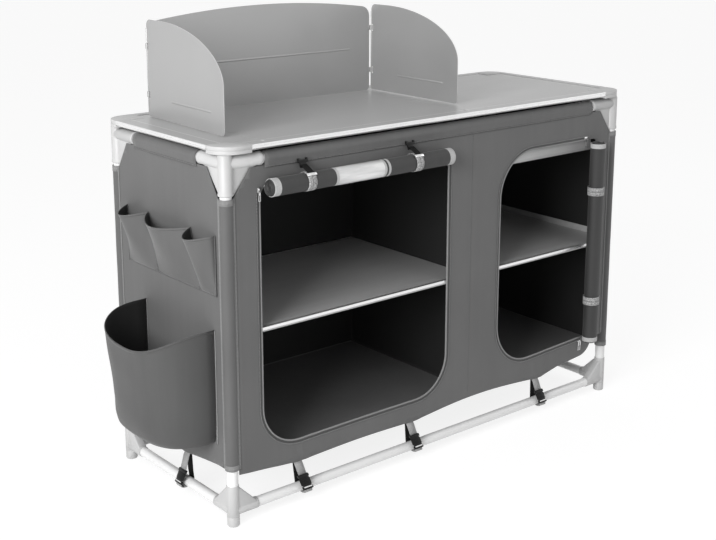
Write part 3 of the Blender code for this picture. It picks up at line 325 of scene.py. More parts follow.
def cloth_finish(name, dark, light, roughness, gloss):
    """Coated polyester: a fine weave, faint upright streaks and soft patches."""
    finish = Finish(name, roughness, Sheen_Weight=gloss, Sheen_Roughness=0.5)
    weave = finish.weave()
    patches = finish.noise(5, 3.0)
    tone = finish.noise(60, 3.0, UPRIGHT) * 0.18 + patches * 0.55 + weave * 0.03
    finish.colour(finish.spread(tone, 0.26, 0.50), dark, light)
    finish.uneven_gloss(patches, 0.05, 0.05)
    finish.relief(weave * 0.25 + finish.noise(260), 0.00012)
    return finish


def tape_finish(name, dark, light, rib, stitched=0.0, sheen=0.2):
    """Woven tape: ribs across it, and a row of stitches along each edge where it is sewn."""
    finish = Finish(name, 0.8, Sheen_Weight=sheen, Specular_IOR_Level=sheen + 0.2)
    along, across = finish.tape_place()
    ribs = along.wave(rib) * 0.5 + across.wave(rib * 0.8) * 0.5
    mottle = finish.noise(700)
    colour = finish.between(finish.spread(ribs * 0.22 + mottle, 0.3, 0.75), dark, light)
    height = ribs * 0.3 + mottle * 0.4
    if stitched:
        row = across.size().within(stitched, 0.0004)
        stitch = row * along.share_of(0.0042).within(0.35, 0.28)
        colour = finish.between(stitch, colour, light)
        height = height + stitch
    finish.set("Base Color", colour)
    finish.relief(height, 0.00025)
    return finish


def hem_finish(name, dark, light):
    """The cupboard's cloth folded over and sewn down with one row of stitches."""
    finish = Finish(name, 0.8, Sheen_Weight=0.1)
    along, across = finish.tape_place()
    stitch = across.within(0.0, 0.0005) * along.share_of(0.0045).within(0.35, 0.27)
    puckers = along.wave(0.009) * across.within(0.0, 0.003)
    # The puckers' ripple also shifts the colour a little: painted shade in the puckers.
    tone = finish.noise(60, 3.0, UPRIGHT) * 0.6 + puckers * 0.06
    cloth = finish.between(finish.spread(tone, 0.2, 0.45), dark, light)
    finish.colour(stitch * 0.5, cloth, grey(150))
    finish.relief(finish.weave() * 0.2 + puckers * 0.8 + stitch, 0.0003)
    return finish


def elastic_finish():
    """Mottled elastic with a seam along its middle."""
    finish = Finish("pale_elastic", 0.8, Sheen_Weight=0.2)
    across = finish.tape_place()[1]
    mottle = finish.noise(420, 4.0)
    ribs = across.wave(0.0016)
    seam = across.within(0.0, 0.0007)
    finish.colour(finish.spread(mottle + ribs * 0.08 - seam * 0.25, 0.38, 0.62), grey(105), grey(196))
    finish.relief(mottle * 0.5 + ribs * 0.3 - seam, 0.0003)
    return finish


def painted_finish(name, low, high, roughness, metallic, coat):
    """Lacquered or cast metal with the faintest unevenness in its gloss."""
    finish = Finish(name, roughness, metallic, Coat_Weight=coat, Coat_Roughness=0.2)
    fine = finish.noise(900)
    broad = finish.noise(9)
    finish.colour(broad * 0.7 + fine * 0.3, low, high)
    finish.uneven_gloss(broad, 0.04, 0.05)
    finish.relief(fine, 0.00002)
    return finish


def moulded_finish(name, low, high, roughness, specular=0.5):
    """Moulded plastic with a fine grain."""
    finish = Finish(name, roughness, Specular_IOR_Level=specular)
    grain = finish.noise(1500)
    finish.colour(finish.noise(14), low, high)
    finish.uneven_gloss(grain, 0.06, 0.06)
    finish.relief(grain, 0.00005)
    return finish


def laminate_finish(name, low, high, roughness, lined=False):
    """Laminated board: speckle and a faint grain, and a pale line inside a lined board's edge."""
    finish = Finish(name, roughness, Coat_Weight=0.15, Coat_Roughness=0.35)
    grain = finish.noise(90, 3.0, (0.06, 1, 1))
    speckle = finish.noise(1100)
    colour = finish.between(finish.spread(grain * 0.6 + speckle * 0.4, 0.35, 0.65), low, high)
    if lined:
        place = finish.parts(finish.place())
        along = (place[0] - ORIGIN.x).size()
        across = (place[1] - ORIGIN.y).size()
        line_x = EDGE_X - LINE_INSET
        line_y = EDGE_Y - LINE_INSET
        long_lines = across.within(line_y, 0.0008) * along.below(line_x)
        short_lines = along.within(line_x, 0.0008) * across.below(line_y)
        colour = finish.between((short_lines + long_lines) * 0.85, colour, grey(236))
    finish.set("Base Color", colour)
    finish.uneven_gloss(grain, 0.06, 0.06)
    finish.relief(speckle, 0.00004)
    return finish


def brushed_finish(name, level, roughness, stretch):
    """Brushed aluminium, its fine lines running along the strip."""
    finish = Finish(name, roughness, 0.85)
    lines = finish.noise(900, 3.0, stretch)
    finish.colour(lines, grey(level - 14), grey(level))
    finish.uneven_gloss(lines, 0.08, 0.08)
    finish.relief(lines, 0.00002)
    return finish


def facing_with_painted_shade_finish():
    """The doorway's pale facing, with painted shade that greys it towards its right end, where it hangs in
    shadow.
    """
    finish = Finish("doorway_facing", 0.7, Sheen_Weight=0.2)
    place = finish.parts(finish.place())
    folds = finish.noise(14, 2.0, (1, 1, 0.3))
    # Painted shade: grey(204) at the left fades to grey(128) at the right, its edge wobbled by the folds
    # noise.
    finish.colour(finish.spread(place[0] + folds * 0.08, 0.26, 0.56), grey(204), grey(128))
    finish.relief(place[0].wave(THREAD) * place[2].wave(THREAD), 0.0001)
    return finish


def film_finish():
    """The door's window: clear film over white net, creased by rolling."""
    finish = Finish("window_film", 0.22, Coat_Weight=0.8, Coat_Roughness=0.08)
    along, across = finish.tape_place()
    net = along.wave(0.0018) * across.wave(0.0018)
    creases = finish.noise(70, 3.0, (0.12, 1, 1))
    finish.colour(finish.spread(creases + net * 0.05, 0.3, 0.7), grey(194), grey(242))
    finish.relief(creases, 0.0005)
    return finish


painted_tube = painted_finish("painted_tube", grey(230), grey(240), 0.3, 0.0, 0.4)
screen_sheet = painted_finish("screen_sheet", grey(168), grey(178), 0.40, 0.5, 0.1)
# Lighter than the sheet: partly the bare cut edge, partly painted highlight.
screen_rim = painted_finish("screen_rim", grey(196), grey(206), 0.35, 0.4, 0.1)
moulded_grey = moulded_finish("moulded_grey", grey(188), grey(198), 0.42)
black_plastic = moulded_finish("black_plastic", grey(14), grey(22), 0.34, 0.22)
worktop_laminate = laminate_finish("worktop_laminate", grey(170), grey(180), 0.38, lined=True)
shelf_laminate = laminate_finish("shelf_laminate", grey(164), grey(174), 0.42)
bright_x = brushed_finish("bright_edge_long", 246, 0.3, (0.02, 1, 1))
bright_y = brushed_finish("bright_edge_short", 246, 0.3, (1, 0.02, 1))
cast_zip = painted_finish("cast_zip", grey(205), grey(235), 0.22, 1.0, 0.0)
zip_coil = moulded_finish("zip_coil", grey(120), grey(146), 0.4)
cupboard_cloth = cloth_finish("cupboard_cloth", grey(93), grey(102), 0.78, 0.15)
lining_cloth = cloth_finish("lining_cloth", grey(14), grey(22), 0.7, 0.05)
door_cloth = cloth_finish("door_cloth", grey(45), grey(55), 0.66, 0.10)
floor_cloth = cloth_finish("floor_cloth", grey(66), grey(78), 0.62, 0.1)
sleeve_cloth = cloth_finish("sleeve_cloth", grey(88), grey(97), 0.7, 0.2)
pocket_cloth = cloth_finish("pocket_cloth", grey(71), grey(80), 0.75, 0.15)
pale_hem_and_highlight = hem_finish("pale_hem_and_highlight", grey(126), grey(138))
dark_hem = hem_finish("dark_hem", grey(86), grey(96))
binding = tape_finish("binding", grey(128), grey(152), 0.0016)
door_binding = tape_finish("door_binding", grey(168), grey(200), 0.0014, 0.0085)
zip_tape = tape_finish("zip_tape", grey(60), grey(80), 0.0012)
pale_webbing = tape_finish("pale_webbing", grey(146), grey(176), 0.0017)
black_webbing_and_painted_shade = tape_finish("black_webbing_and_painted_shade", grey(12), grey(24), 0.0017, sheen=0.0)
pale_elastic = elastic_finish()
facing_cloth_with_painted_shade = facing_with_painted_shade_finish()
window_film = film_finish()


def running(points):
    """How far along a line each of its points is."""
    lengths = [0.0]
    for before, after in zip(points, points[1:]):
        lengths.append(lengths[-1] + math.dist(before, after))
    return lengths


def joined(*shapes):
    """Several shapes as one."""
    whole = shapes[0]
    for shape in shapes[1:]:
        mesh = bpy.data.meshes.new("shape")
        shape.to_mesh(mesh)
        shape.free()
        whole.from_mesh(mesh)
        bpy.data.meshes.remove(mesh)
    return whole


def moved(bm, *matrices):
    """A shape after one move, or joined copies of it for several."""
    if len(matrices) == 1:
        bm.transform(matrices[0])
        if matrices[0].determinant() < 0:
            bmesh.ops.reverse_faces(bm, faces=bm.faces)
        return bm
    copies = [moved(bm.copy(), matrix) for matrix in matrices]
    bm.free()
    return joined(*copies)


def make_piece(name, bm, finishes, body="frame", instead_of=None, smooth=35, soft=0.0, thickness=0.0,
               lined=False):
    """A finished piece under the frame's middle, riding on a body.

    soft rounds its sharp edges. thickness makes a sheet solid inwards, with the second finish as its
    inner side where it is lined.
    """
    bm.transform(Matrix.Translation(ORIGIN))
    mesh = bpy.data.meshes.new(name)
    bm.to_mesh(mesh)
    bm.free()
    for finish in finishes if isinstance(finishes, list) else [finishes]:
        mesh.materials.append(finish.material)
    mesh.shade_smooth()
    mesh.set_sharp_from_angle(angle=math.radians(smooth))
    piece = bpy.data.objects.new(name, mesh)
    bpy.context.collection.objects.link(piece)
    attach(piece, body)
    if instead_of:
        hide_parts(instead_of)
    if soft:
        bevel = piece.modifiers.new("soft_edges", "BEVEL")
        bevel.width = soft
        bevel.segments = 2
        bevel.limit_method = "ANGLE"
        bevel.angle_limit = math.radians(40)
        bevel.harden_normals = True
    if thickness:
        solid = piece.modifiers.new("cloth_thickness", "SOLIDIFY")
        solid.thickness = thickness
        solid.offset = -1.0
        solid.material_offset = int(lined)
    return piece


def face_away(bm, point=None, towards=None):
    """Turn an open sheet's faces away from a point or towards a direction."""
    bm.normal_update()
    total = 0.0
    for face in bm.faces:
        way = Vector(towards) if towards else face.calc_center_median() - Vector(point)
        total += face.normal.dot(way) * face.calc_area()
    if total < 0:
        bmesh.ops.reverse_faces(bm, faces=bm.faces)
    return bm


def flat_shape(outline, holes=(), cell=None):
    """A flat sheet in the XY plane that faces +Z, cut into cells where it has to bend."""
    bm = bmesh.new()
    edges = []
    for loop in (outline, *holes):
        verts = [bm.verts.new((x, y, 0)) for x, y in loop]
        edges += [bm.edges.new((verts[i - 1], verts[i])) for i in range(len(verts))]
    bmesh.ops.triangle_fill(bm, use_beauty=True, edges=edges)
    bm.normal_update()
    for face in bm.faces:
        if face.normal.z < 0:
            face.normal_flip()
    for way in (Vector((1, 0, 0)), Vector((0, 1, 0))) if cell else ():
        ends = [vert.co.dot(way) for vert in bm.verts]
        low = min(ends)
        for step in range(1, round((max(ends) - low) / cell)):
            bmesh.ops.bisect_plane(bm, geom=bm.verts[:] + bm.edges[:] + bm.faces[:], dist=1e-6,
                                   plane_co=way * (low + step * cell), plane_no=way)
    return bm


def slab(outline, thickness, holes=()):
    """A flat plate in the XY plane, its thickness shared each side of Z = 0."""
    bm = flat_shape(outline, holes)
    bmesh.ops.translate(bm, verts=bm.verts, vec=(0, 0, thickness / 2))
    bmesh.ops.solidify(bm, geom=bm.faces[:], thickness=thickness)
    bmesh.ops.recalc_face_normals(bm, faces=bm.faces)
    return bm


def rounded(corners, steps=10):
    """An outline through corners given as (x, y, radius)."""
    points = []
    for i, (x, y, radius) in enumerate(corners):
        corner = Vector((x, y))
        if radius <= 0:
            points.append(corner)
            continue
        before = (Vector(corners[i - 1][:2]) - corner).normalized()
        after = (Vector(corners[(i + 1) % len(corners)][:2]) - corner).normalized()
        half = before.angle(after) / 2
        centre = corner + (before + after).normalized() * radius / math.sin(half)
        start = corner + before * radius / math.tan(half) - centre
        sweep = math.pi - 2 * half
        if before.x * after.y - before.y * after.x > 0:
            sweep = -sweep
        for step in range(steps + 1):
            points.append(centre + Matrix.Rotation(sweep * step / steps, 2) @ start)
    return [tuple(point) for point in points]


def arc(middle, reach, start, end, steps):
    """Points along part of an ellipse, from one angle to another in degrees."""
    points = []
    for step in range(steps + 1):
        angle = math.radians(start + (end - start) * step / steps)
        points.append((middle[0] + reach[0] * math.cos(angle), middle[1] + reach[1] * math.sin(angle)))
    return points


def line(start, end, steps):
    """Evenly spaced points from one place to another."""
    return [Vector(start).lerp(Vector(end), step / steps) for step in range(steps + 1)]


def mirrored(points, flip=(-1, 1)):
    """Half an outline followed by its reflection, in reverse order."""
    return points + [(x * flip[0], y * flip[1]) for x, y in reversed(points)]


def bevel_edges(bm, width, segments, turning=-1.0):
    """Round a shape's edges, or only those that turn by more than an angle in radians."""
    edges = [edge for edge in bm.edges if edge.calc_face_angle(0) > turning]
    bmesh.ops.bevel(bm, geom=edges, offset=width, segments=segments, affect="EDGES", profile=0.5,
                    material=-1)


def block(size, centre=(0, 0, 0), bevel=0.0, segments=2):
    """A box about a centre, its edges rounded by a bevel."""
    bm = bmesh.new()
    bmesh.ops.create_cube(bm, size=1.0, matrix=Matrix.Translation(centre) @ Matrix.Diagonal((*size, 1)))
    if bevel:
        bevel_edges(bm, bevel, segments)
    return bm


def lathe(profile, sides=ROUND_SIDES, closed=True):
    """A shape turned about Z from a profile of radius and height."""
    bm = bmesh.new()
    points = [bm.verts.new((radius, 0, height)) for radius, height in profile]
    first = 0 if closed else 1
    edges = [bm.edges.new((points[i - 1], points[i])) for i in range(first, len(points))]
    bmesh.ops.spin(bm, geom=points + edges, cent=(0, 0, 0), axis=(0, 0, 1), angle=2 * math.pi, steps=sides,
                   use_merge=True)
    bmesh.ops.remove_doubles(bm, verts=bm.verts, dist=1e-6)
    bmesh.ops.recalc_face_normals(bm, faces=bm.faces)
    return bm


def pipe(radius, wall, length):
    """A hollow tube along Z from the origin, its ends slightly rounded."""
    inner = radius - wall
    soft = wall / 3
    return lathe([(radius, soft), (radius, length - soft), (radius - soft, length), (inner, length),
                  (inner, 0), (radius - soft, 0)])


def grid(columns, rows, place, spot):
    """A sheet of cells; place and spot give each crossing's position and its place on the flat cloth."""
    bm = bmesh.new()
    bmesh.ops.create_grid(bm, x_segments=columns, y_segments=rows, size=1.0)
    flat = bm.loops.layers.uv.new("UVMap")
    crossings = {vert: (round((vert.co.x + 1) / 2 * columns), round((vert.co.y + 1) / 2 * rows))
                 for vert in bm.verts}
    for face in bm.faces:
        for loop in face.loops:
            loop[flat].uv = spot(*crossings[loop.vert])
    for vert, crossing in crossings.items():
        vert.co = place(*crossing)
    bmesh.ops.remove_doubles(bm, verts=bm.verts, dist=1e-6)
    return bm


def strip(points, across, width, rows=1, crown=0.0, **facing):
    """A tape along points, turned away from a point or towards a direction where one is given.

    across is its width's direction, one for all points or a list with one for each.
    """
    points = [Vector(point) for point in points]
    across = across if isinstance(across, list) else [across] * len(points)
    sides = [Vector(side).normalized() for side in across]
    run = running(points)

    def place(i, j):
        share = j / rows - 0.5
        ahead = points[min(i + 1, len(points) - 1)] - points[max(i - 1, 0)]
        out = sides[i].cross(ahead).normalized() if crown else Vector()
        return points[i] + sides[i] * (width * share) + out * (crown * (1 - 4 * share * share))

    bm = grid(len(points) - 1, rows, place, lambda i, j: (run[i], width * (j / rows - 0.5)))
    return face_away(bm, **facing) if facing else bm


def hang(h, z, seed):
    """How far the cupboard's cloth stands out of its plane: soft waves and faint upright puckers."""
    broad = noise.noise(Vector((h * 4.0, z * 2.2, seed)))
    fine = noise.noise(Vector((h * 26.0, z * 3.0, seed + 9.0)))
    return max(0.0, 0.0010 + 0.0014 * broad + 0.0001 * fine)


def strap_pull(h, z, straps, hem):
    """Short folds that fan up from each strap's seam."""
    total = 0.0
    for strap in straps:
        reach = max(0.0, z - hem)
        if reach < 0.2 and abs(h - strap) < 0.12:
            spread = 0.012 + reach * 0.5
            ridge = math.exp(-((h - strap) / spread) ** 2)
            total += 0.0022 * ridge * math.exp(-reach / 0.055) * math.cos((h - strap) / spread * 3.0) ** 2
    return total


class Panel:
    """One wall of the cupboard, seen from outside: h runs to the right and z up.

    calm scales its relief. A zip holds it flat at zip_line, which otherwise lies past its edge.
    """

    def __init__(self, side, straps, hem, seed, calm=1.0, zip_line=2.0):
        self.side = side
        self.straps = straps
        self.hem = hem
        self.seed = seed
        self.calm = calm
        self.zip_line = zip_line
        is_long = side in ("front", "back")
        self.half_width = HALF_X if is_long else HALF_Y
        self.rail_distance = HALF_Y if is_long else HALF_X
        self.turn = FACING[side]
        self.outward = (self.turn @ Vector((0, 0, 1, 0))).xyz
        self.origin = self.outward * (self.rail_distance + FACE)

    def rise(self, h, z):
        """The cloth's own relief, which dies away at its top, beside the legs and along a zip."""
        fade = min(1.0, max(0.0, (self.half_width - 0.02 - abs(h)) / 0.04))
        fade *= min(1.0, max(0.0, (0.745 - z) / 0.05))
        fade *= min(1.0, ((h - self.zip_line) / 0.04) ** 2)
        return self.calm * fade * (hang(h, z, self.seed) + strap_pull(h, z, self.straps, self.hem))

    def point(self, h, z, out=0.0):
        """A place on the cloth's outer side, or a little outside it."""
        return self.origin + self.sideways(h, z) + self.outward * (self.rise(h, z) + out)

    def sideways(self, h, z):
        """A direction or distance in the cloth's plane."""
        return (self.turn @ Vector((h, z, 0, 0))).xyz


front = Panel("front", FRONT_STRAPS, HEM_AT_STRAP, 1.0, zip_line=LEFT_DOORWAY[0] - 0.003)
back = Panel("back", [-x for x in BACK_STRAPS], HEM_AT_STRAP, 4.0)
left = Panel("left", [-SIDE_STRAP_Y], SIDE_HEM_AT_STRAP, 7.0, 0.35)
right = Panel("right", [SIDE_STRAP_Y], SIDE_HEM_AT_STRAP, 11.0)


def dense(route, step=0.012):
    """A route with a point at least every step."""
    points = []
    for before, after in zip(route, route[1:]):
        count = max(1, math.ceil(math.dist(before, after) / step))
        points += [tuple(point) for point in line(before, after, count)[:-1]]
    return points + [route[-1]]


def even(route, step):
    """A route with points exactly a step apart."""
    points = [Vector(point) for point in route]
    result = [tuple(points[0])]
    need = step
    for before, after in zip(points, points[1:]):
        length = (after - before).length
        while need <= length:
            result.append(tuple(before.lerp(after, need / length)))
            need += step
        need -= length
    return result


def normals_of(route):
    """The direction to the left of a route at each of its points."""
    sides = []
    last = len(route) - 1
    for i in range(len(route)):
        way = (Vector(route[min(i + 1, last)]) - Vector(route[max(i - 1, 0)])).normalized()
        sides.append((-way.y, way.x))
    return sides


def edge_tape(panel, route, width, shift, out, rows=1, crown=0.0):
    """A tape along a route on a panel, shifted to the left of the route."""
    points = []
    across = []
    for (h, z), (nh, nz) in zip(route, normals_of(route)):
        points.append(panel.point(h + nh * shift, z + nz * shift, out))
        across.append(panel.sideways(nh, nz))
    return strip(points, across, width, rows, crown, towards=panel.outward)


def scallop(start, end, height, middle, steps=14):
    """Hem points from one strap to the next, rising between them."""
    points = []
    for step in range(1, steps):
        share = step / steps
        rise = (middle - height) * math.sin(math.pi * share)
        points.append((start + (end - start) * share, height + rise))
    return points


def long_hem(straps, right_end):
    """The bottom edge of the front or back, pulled down at each strap and slacker to the right."""
    half = STRAP_WIDTH / 2
    points = [(-WALL_END, HEM_END)]
    for i, strap in enumerate(straps):
        points += [(strap - half, HEM_AT_STRAP), (strap + half, HEM_AT_STRAP)]
        if i + 1 < len(straps):
            points += scallop(strap + half, straps[i + 1] - half, HEM_AT_STRAP, 0.101 + 0.009 * i)
    return points + right_end


def build_legs_and_rails():
    """The painted tubes."""
    low, high = LEG_ENDS
    for corner, (side_x, side_y, _) in CORNERS.items():
        leg = moved(pipe(LEG_RADIUS, TUBE_WALL, high - low), at(side_x * HALF_X, side_y * HALF_Y, low))
        make_piece("tube_leg_" + corner, leg, painted_tube, instead_of="leg_" + corner)
    for level, height in RAIL_HEIGHTS.items():
        for side, half, start, turn in (
                ("front", HALF_X, (RAIL_START - HALF_X, -HALF_Y), ALONG_X),
                ("back", HALF_X, (RAIL_START - HALF_X, HALF_Y), ALONG_X),
                ("left", HALF_Y, (-HALF_X, RAIL_START - HALF_Y), ALONG_Y),
                ("right", HALF_Y, (HALF_X, RAIL_START - HALF_Y), ALONG_Y)):
            rail = moved(pipe(RAIL_RADIUS, TUBE_WALL, 2 * (half - RAIL_START)), at(*start, height, turn))
            make_piece(f"tube_rail_{level}_{side}", rail, painted_tube,
                       instead_of=f"rail_{level}_{side}")


def collar(radius, reach, lip):
    """A sleeve for a rail, along Z from the leg's axis, its end thickened by a lip."""
    ring = radius + lip
    soft = (ring - RAIL_BORE) / 4
    return lathe([(radius - 0.0006, 0.004), (radius, 0.005), (radius, reach - 0.009),
                  (ring, reach - 0.0075), (ring, reach - soft), (ring - soft, reach),
                  (RAIL_BORE + soft, reach), (RAIL_BORE, reach - soft), (RAIL_BORE, 0.004)])


def web(points, thickness, soft):
    """A pair of webs, one under each collar, with rounded edges."""
    shape = slab(points, thickness)
    bevel_edges(shape, soft, 3, 0.6)
    return moved(shape, FACING["front"], FACING["right"])


def corner_connector(socket, sleeve, height, web_outline, web_thickness, web_soft):
    """A leg's socket with a sleeve for each of two rails and a web under each sleeve."""
    sleeves = moved(sleeve, at(0, 0, height, ALONG_X), at(0, 0, height, ALONG_Y))
    return joined(socket, sleeves, web(web_outline, web_thickness, web_soft))


def build_connectors():
    """Corner connectors of moulded plastic at the feet and under the worktop."""
    low = RAIL_HEIGHTS["bottom"]
    wide = FOOT_RADIUS
    foot_top = 0.090
    sole = [(0, 0), (wide - 0.0035, 0), (wide - 0.001, 0.0008), (wide, 0.003), (wide, 0.0202),
            (wide - 0.0004, 0.0206), (wide - 0.0004, 0.0212), (wide, 0.0216), (wide, foot_top - 0.0006),
            (wide - 0.0004, foot_top), (LEG_BORE, foot_top), (LEG_BORE, 0.010), (0, 0.010)]
    foot_web = [(0.006, low), (0.053, low), (0.053, low + 0.0100), (0.0128, 0.084), (0.006, 0.084)]
    foot = corner_connector(lathe(sole, closed=False), collar(FOOT_COLLAR_RADIUS, FOOT_REACH, 0.0), low,
                            foot_web, 0.0210, 0.0035)
    high = RAIL_HEIGHTS["top"]
    bottom, top = TOP_SOCKET
    radius = SOCKET_RADIUS
    ring = radius + 0.0012
    socket = [(radius - 0.0004, bottom), (ring, bottom + 0.0012), (ring, bottom + 0.005),
              (radius, bottom + 0.008), (radius, top - 0.002), (radius - 0.002, top), (PEG_HOLE, top),
              (PEG_HOLE, top - 0.012), (0, top - 0.012), (0, top - 0.0137), (LEG_BORE, top - 0.0137),
              (LEG_BORE, bottom)]
    head_web = [(0.006, bottom + 0.004), (0.0150, 0.6990), (0.0470, 0.7400), (0.0560, 0.7495),
                (0.0720, 0.7535), (0.0720, high), (0.006, high)]
    head = corner_connector(lathe(socket), collar(COLLAR_RADIUS, TOP_REACH, 0.0008), high, head_web,
                            0.0116, 0.0015)
    for corner, (side_x, side_y, degrees) in CORNERS.items():
        place = at(side_x * HALF_X, side_y * HALF_Y, 0, Matrix.Rotation(math.radians(degrees), 4, "Z"))
        for shape, name, node in ((foot, "foot_", "foot_connector_"), (head, "head_", "top_connector_")):
            make_piece(name + corner, moved(shape.copy(), place), moulded_grey,
                       instead_of=node + corner, smooth=50)
    foot.free()
    head.free()


def notched(x0, x1, side, notch):
    """A board between two ends, its corners cut away at an end that reaches past the notch."""
    x, y = notch
    first = [(x0, y), (-x, y), (-x, side)] if x0 < -x else [(x0, side)]
    last = [(x, side), (x, y), (x1, y)] if x1 > x else [(x1, side)]
    return mirrored(first + last, (1, -1))


def build_worktop_panels():
    """Three laminated panels, cut away under the corner pieces, and the clips that join them."""
    seams = (-0.486, 0.080)
    gap = 0.0004
    thickness = 0.009
    end = EDGE_X - BOARD_INSET
    for name, x0, x1 in (("left", -end, seams[0] - gap), ("centre", seams[0] + gap, seams[1] - gap),
                         ("right", seams[1] + gap, end)):
        outline = notched(x0, x1, EDGE_Y - BOARD_INSET, EDGE_ENDS)
        panel = moved(slab(outline, thickness), at(0, 0, TOP - 0.0013 - thickness / 2))
        make_piece("laminate_" + name, panel, worktop_laminate, "worktop",
                   "worktop_panel_" + name, soft=0.0003)
    clips = [block((0.0014, 0.020, 0.0012), (x, y, TOP - 0.0009), 0.0004)
             for x in seams for y in (-0.202, 0.202)]
    make_piece("worktop_joint_clips", joined(*clips), bright_y, "worktop")


def folded_edge(length, place):
    """The folded aluminium edge: two beads on its wall, its lips under and over the board."""
    profile = [(0.0006, 0), (0.020, 0), (0.020, -0.001), (0.0022, -0.001), (0.0022, -0.0086),
               (0.0046, -0.011), (0.012, -0.011), (0.012, -0.012), (0.0038, -0.012), (0.0004, -0.0088),
               (0, -0.0082), (0, -0.0058), (0.0009, -0.0052), (0.0009, -0.0044), (0, -0.0038), (0, -0.0006)]
    shape = moved(slab(profile, length), place @ FACING["right"])
    shape.normal_update()
    for face in shape.faces:
        face.material_index = int(face.normal.z > 0.9)
    return shape


def build_folded_edges():
    """The worktop's four aluminium edges, which end beside its corner pieces."""
    end_x, end_y = EDGE_ENDS
    for name, half_length, finish, spot, degrees in (
            ("front", end_x, bright_x, (0, -EDGE_Y), 0), ("back", end_x, bright_x, (0, EDGE_Y), 180),
            ("left", end_y, bright_y, (-EDGE_X, 0), -90), ("right", end_y, bright_y, (EDGE_X, 0), 90)):
        edge = folded_edge(2 * half_length, at(*spot, TOP, Matrix.Rotation(math.radians(degrees), 4, "Z")))
        make_piece("folded_edge_" + name, edge, [finish, worktop_laminate], "worktop",
                   "worktop_edge_" + name, soft=0.0002)


def build_corner_caps():
    """The worktop's corner pieces: three stepped layers over a peg that drops into the connector."""
    inner_x = CORNER_REACH[0] - EDGE_X
    inner_y = CORNER_REACH[1] - EDGE_Y
    layers = []
    for inset, bottom, height in ((0.0, 0.784, 0.0072), (0.0011, 0.788, 0.008), (0.0, 0.7926, 0.0074)):
        near_x = inset - EDGE_X
        near_y = inset - EDGE_Y
        outline = rounded([(near_x, near_y, 0.045 - inset), (inner_x, near_y, 0), (inner_x, inner_y, 0),
                           (near_x, inner_y, 0)], 20)
        layer = moved(slab(outline, height), at(0, 0, bottom + height / 2))
        bevel_edges(layer, 0.0008, 2, 1.0)
        layers.append(layer)
    peg = lathe([(0, 0.776), (0.0056, 0.776), (0.0062, 0.777), (0.0062, 0.786), (0, 0.786)], 32, False)
    cap = joined(*layers, moved(peg, at(-HALF_X, -HALF_Y, 0)))
    for corner, (side_x, side_y, _) in CORNERS.items():
        flip = Matrix.Diagonal((-side_x, -side_y, 1, 1))
        make_piece("corner_cap_" + corner, moved(cap.copy(), flip), moulded_grey, "worktop",
                   "worktop_corner_" + corner)
    cap.free()


def screen_back_outline():
    """The windscreen's back: a shallow arch with rounded shoulders."""
    half = (SCREEN_RIGHT_X - SCREEN_LEFT_X) / 2 - 0.0039
    shoulder = 0.205
    arch = []
    for step in range(25):
        x = (half - 0.030) * (1 - step / 12)
        arch.append((x, shoulder + 0.023 * (1 - (x / half) ** 2), 0))
    return rounded([(-half, 0, 0.008), (half, 0, 0.008), (half, shoulder, 0.026)] + arch
                   + [(-half, shoulder, 0.026)])


def wing_outline():
    """A wing from its hinge along +X, its top curving down to the front.

    Notches in its hinge edge clear the back's knuckles.
    """
    hinge_x = 0.0009
    notch_x = 0.007
    notch = 0.008
    curve = [(x, z, 0) for x, z in arc((0.060, 0.100), (0.252, 0.113), 0, 90, 28)]
    outline = rounded([(hinge_x, 0.002, 0.002), (0.312, 0.002, 0.010)] + curve + [(hinge_x, 0.213, 0.014)])
    outline = [point for point in outline if point[0] > 0.008 or point[1] < 0.03 or point[1] > 0.17]
    for height in reversed(KNUCKLE_HEIGHTS):
        outline += [(hinge_x, height + notch), (notch_x, height + notch), (notch_x, height - notch),
                    (hinge_x, height - notch)]
    return outline


def rim_wire(outline, name, place, body):
    """The cut edge of a screen panel, coloured lighter than the sheet: partly the bare metal, partly a
    painted highlight where it catches the light.
    """
    points = [(x, 0, z) for x, z in outline]
    bm = strip(points + points[:1], (0, 1, 0), SCREEN + 0.0001)
    bmesh.ops.solidify(bm, geom=bm.faces[:], thickness=0.0004)
    bmesh.ops.recalc_face_normals(bm, faces=bm.faces)
    make_piece(name, moved(bm, place), screen_rim, body)


def rib_shape(start, end, height):
    """A long shallow rib pressed out of both sides of a sheet that stands along X."""
    bm = bmesh.new()
    bmesh.ops.create_uvsphere(bm, u_segments=24, v_segments=12, radius=1.0)
    bm.transform(ALONG_X)
    for vert in bm.verts:
        way = math.copysign(1, vert.co.x) if abs(vert.co.x) > 1e-6 else 0
        end_x = (start + end) / 2 + way * ((end - start) / 2 - 0.003)
        vert.co = Vector((end_x + vert.co.x * 0.003, vert.co.y * 0.0014, height + vert.co.z * 0.0028))
    return bm


def knuckle(x, inward, height):
    """A rolled knuckle on the back's edge, and the tab that joins it to the sheet."""
    barrel = lathe([(0.0036, height - 0.0057), (0.0036, height + 0.0057), (0.0033, height + 0.006),
                    (0.0022, height + 0.006), (0.0022, height - 0.006), (0.0033, height - 0.006)], 24)
    tab = block((0.0072, 0.0026, 0.0116), (x + inward * 0.0036, 0.0038, height), 0.0005)
    return [moved(barrel, at(x, 0, 0)), tab]


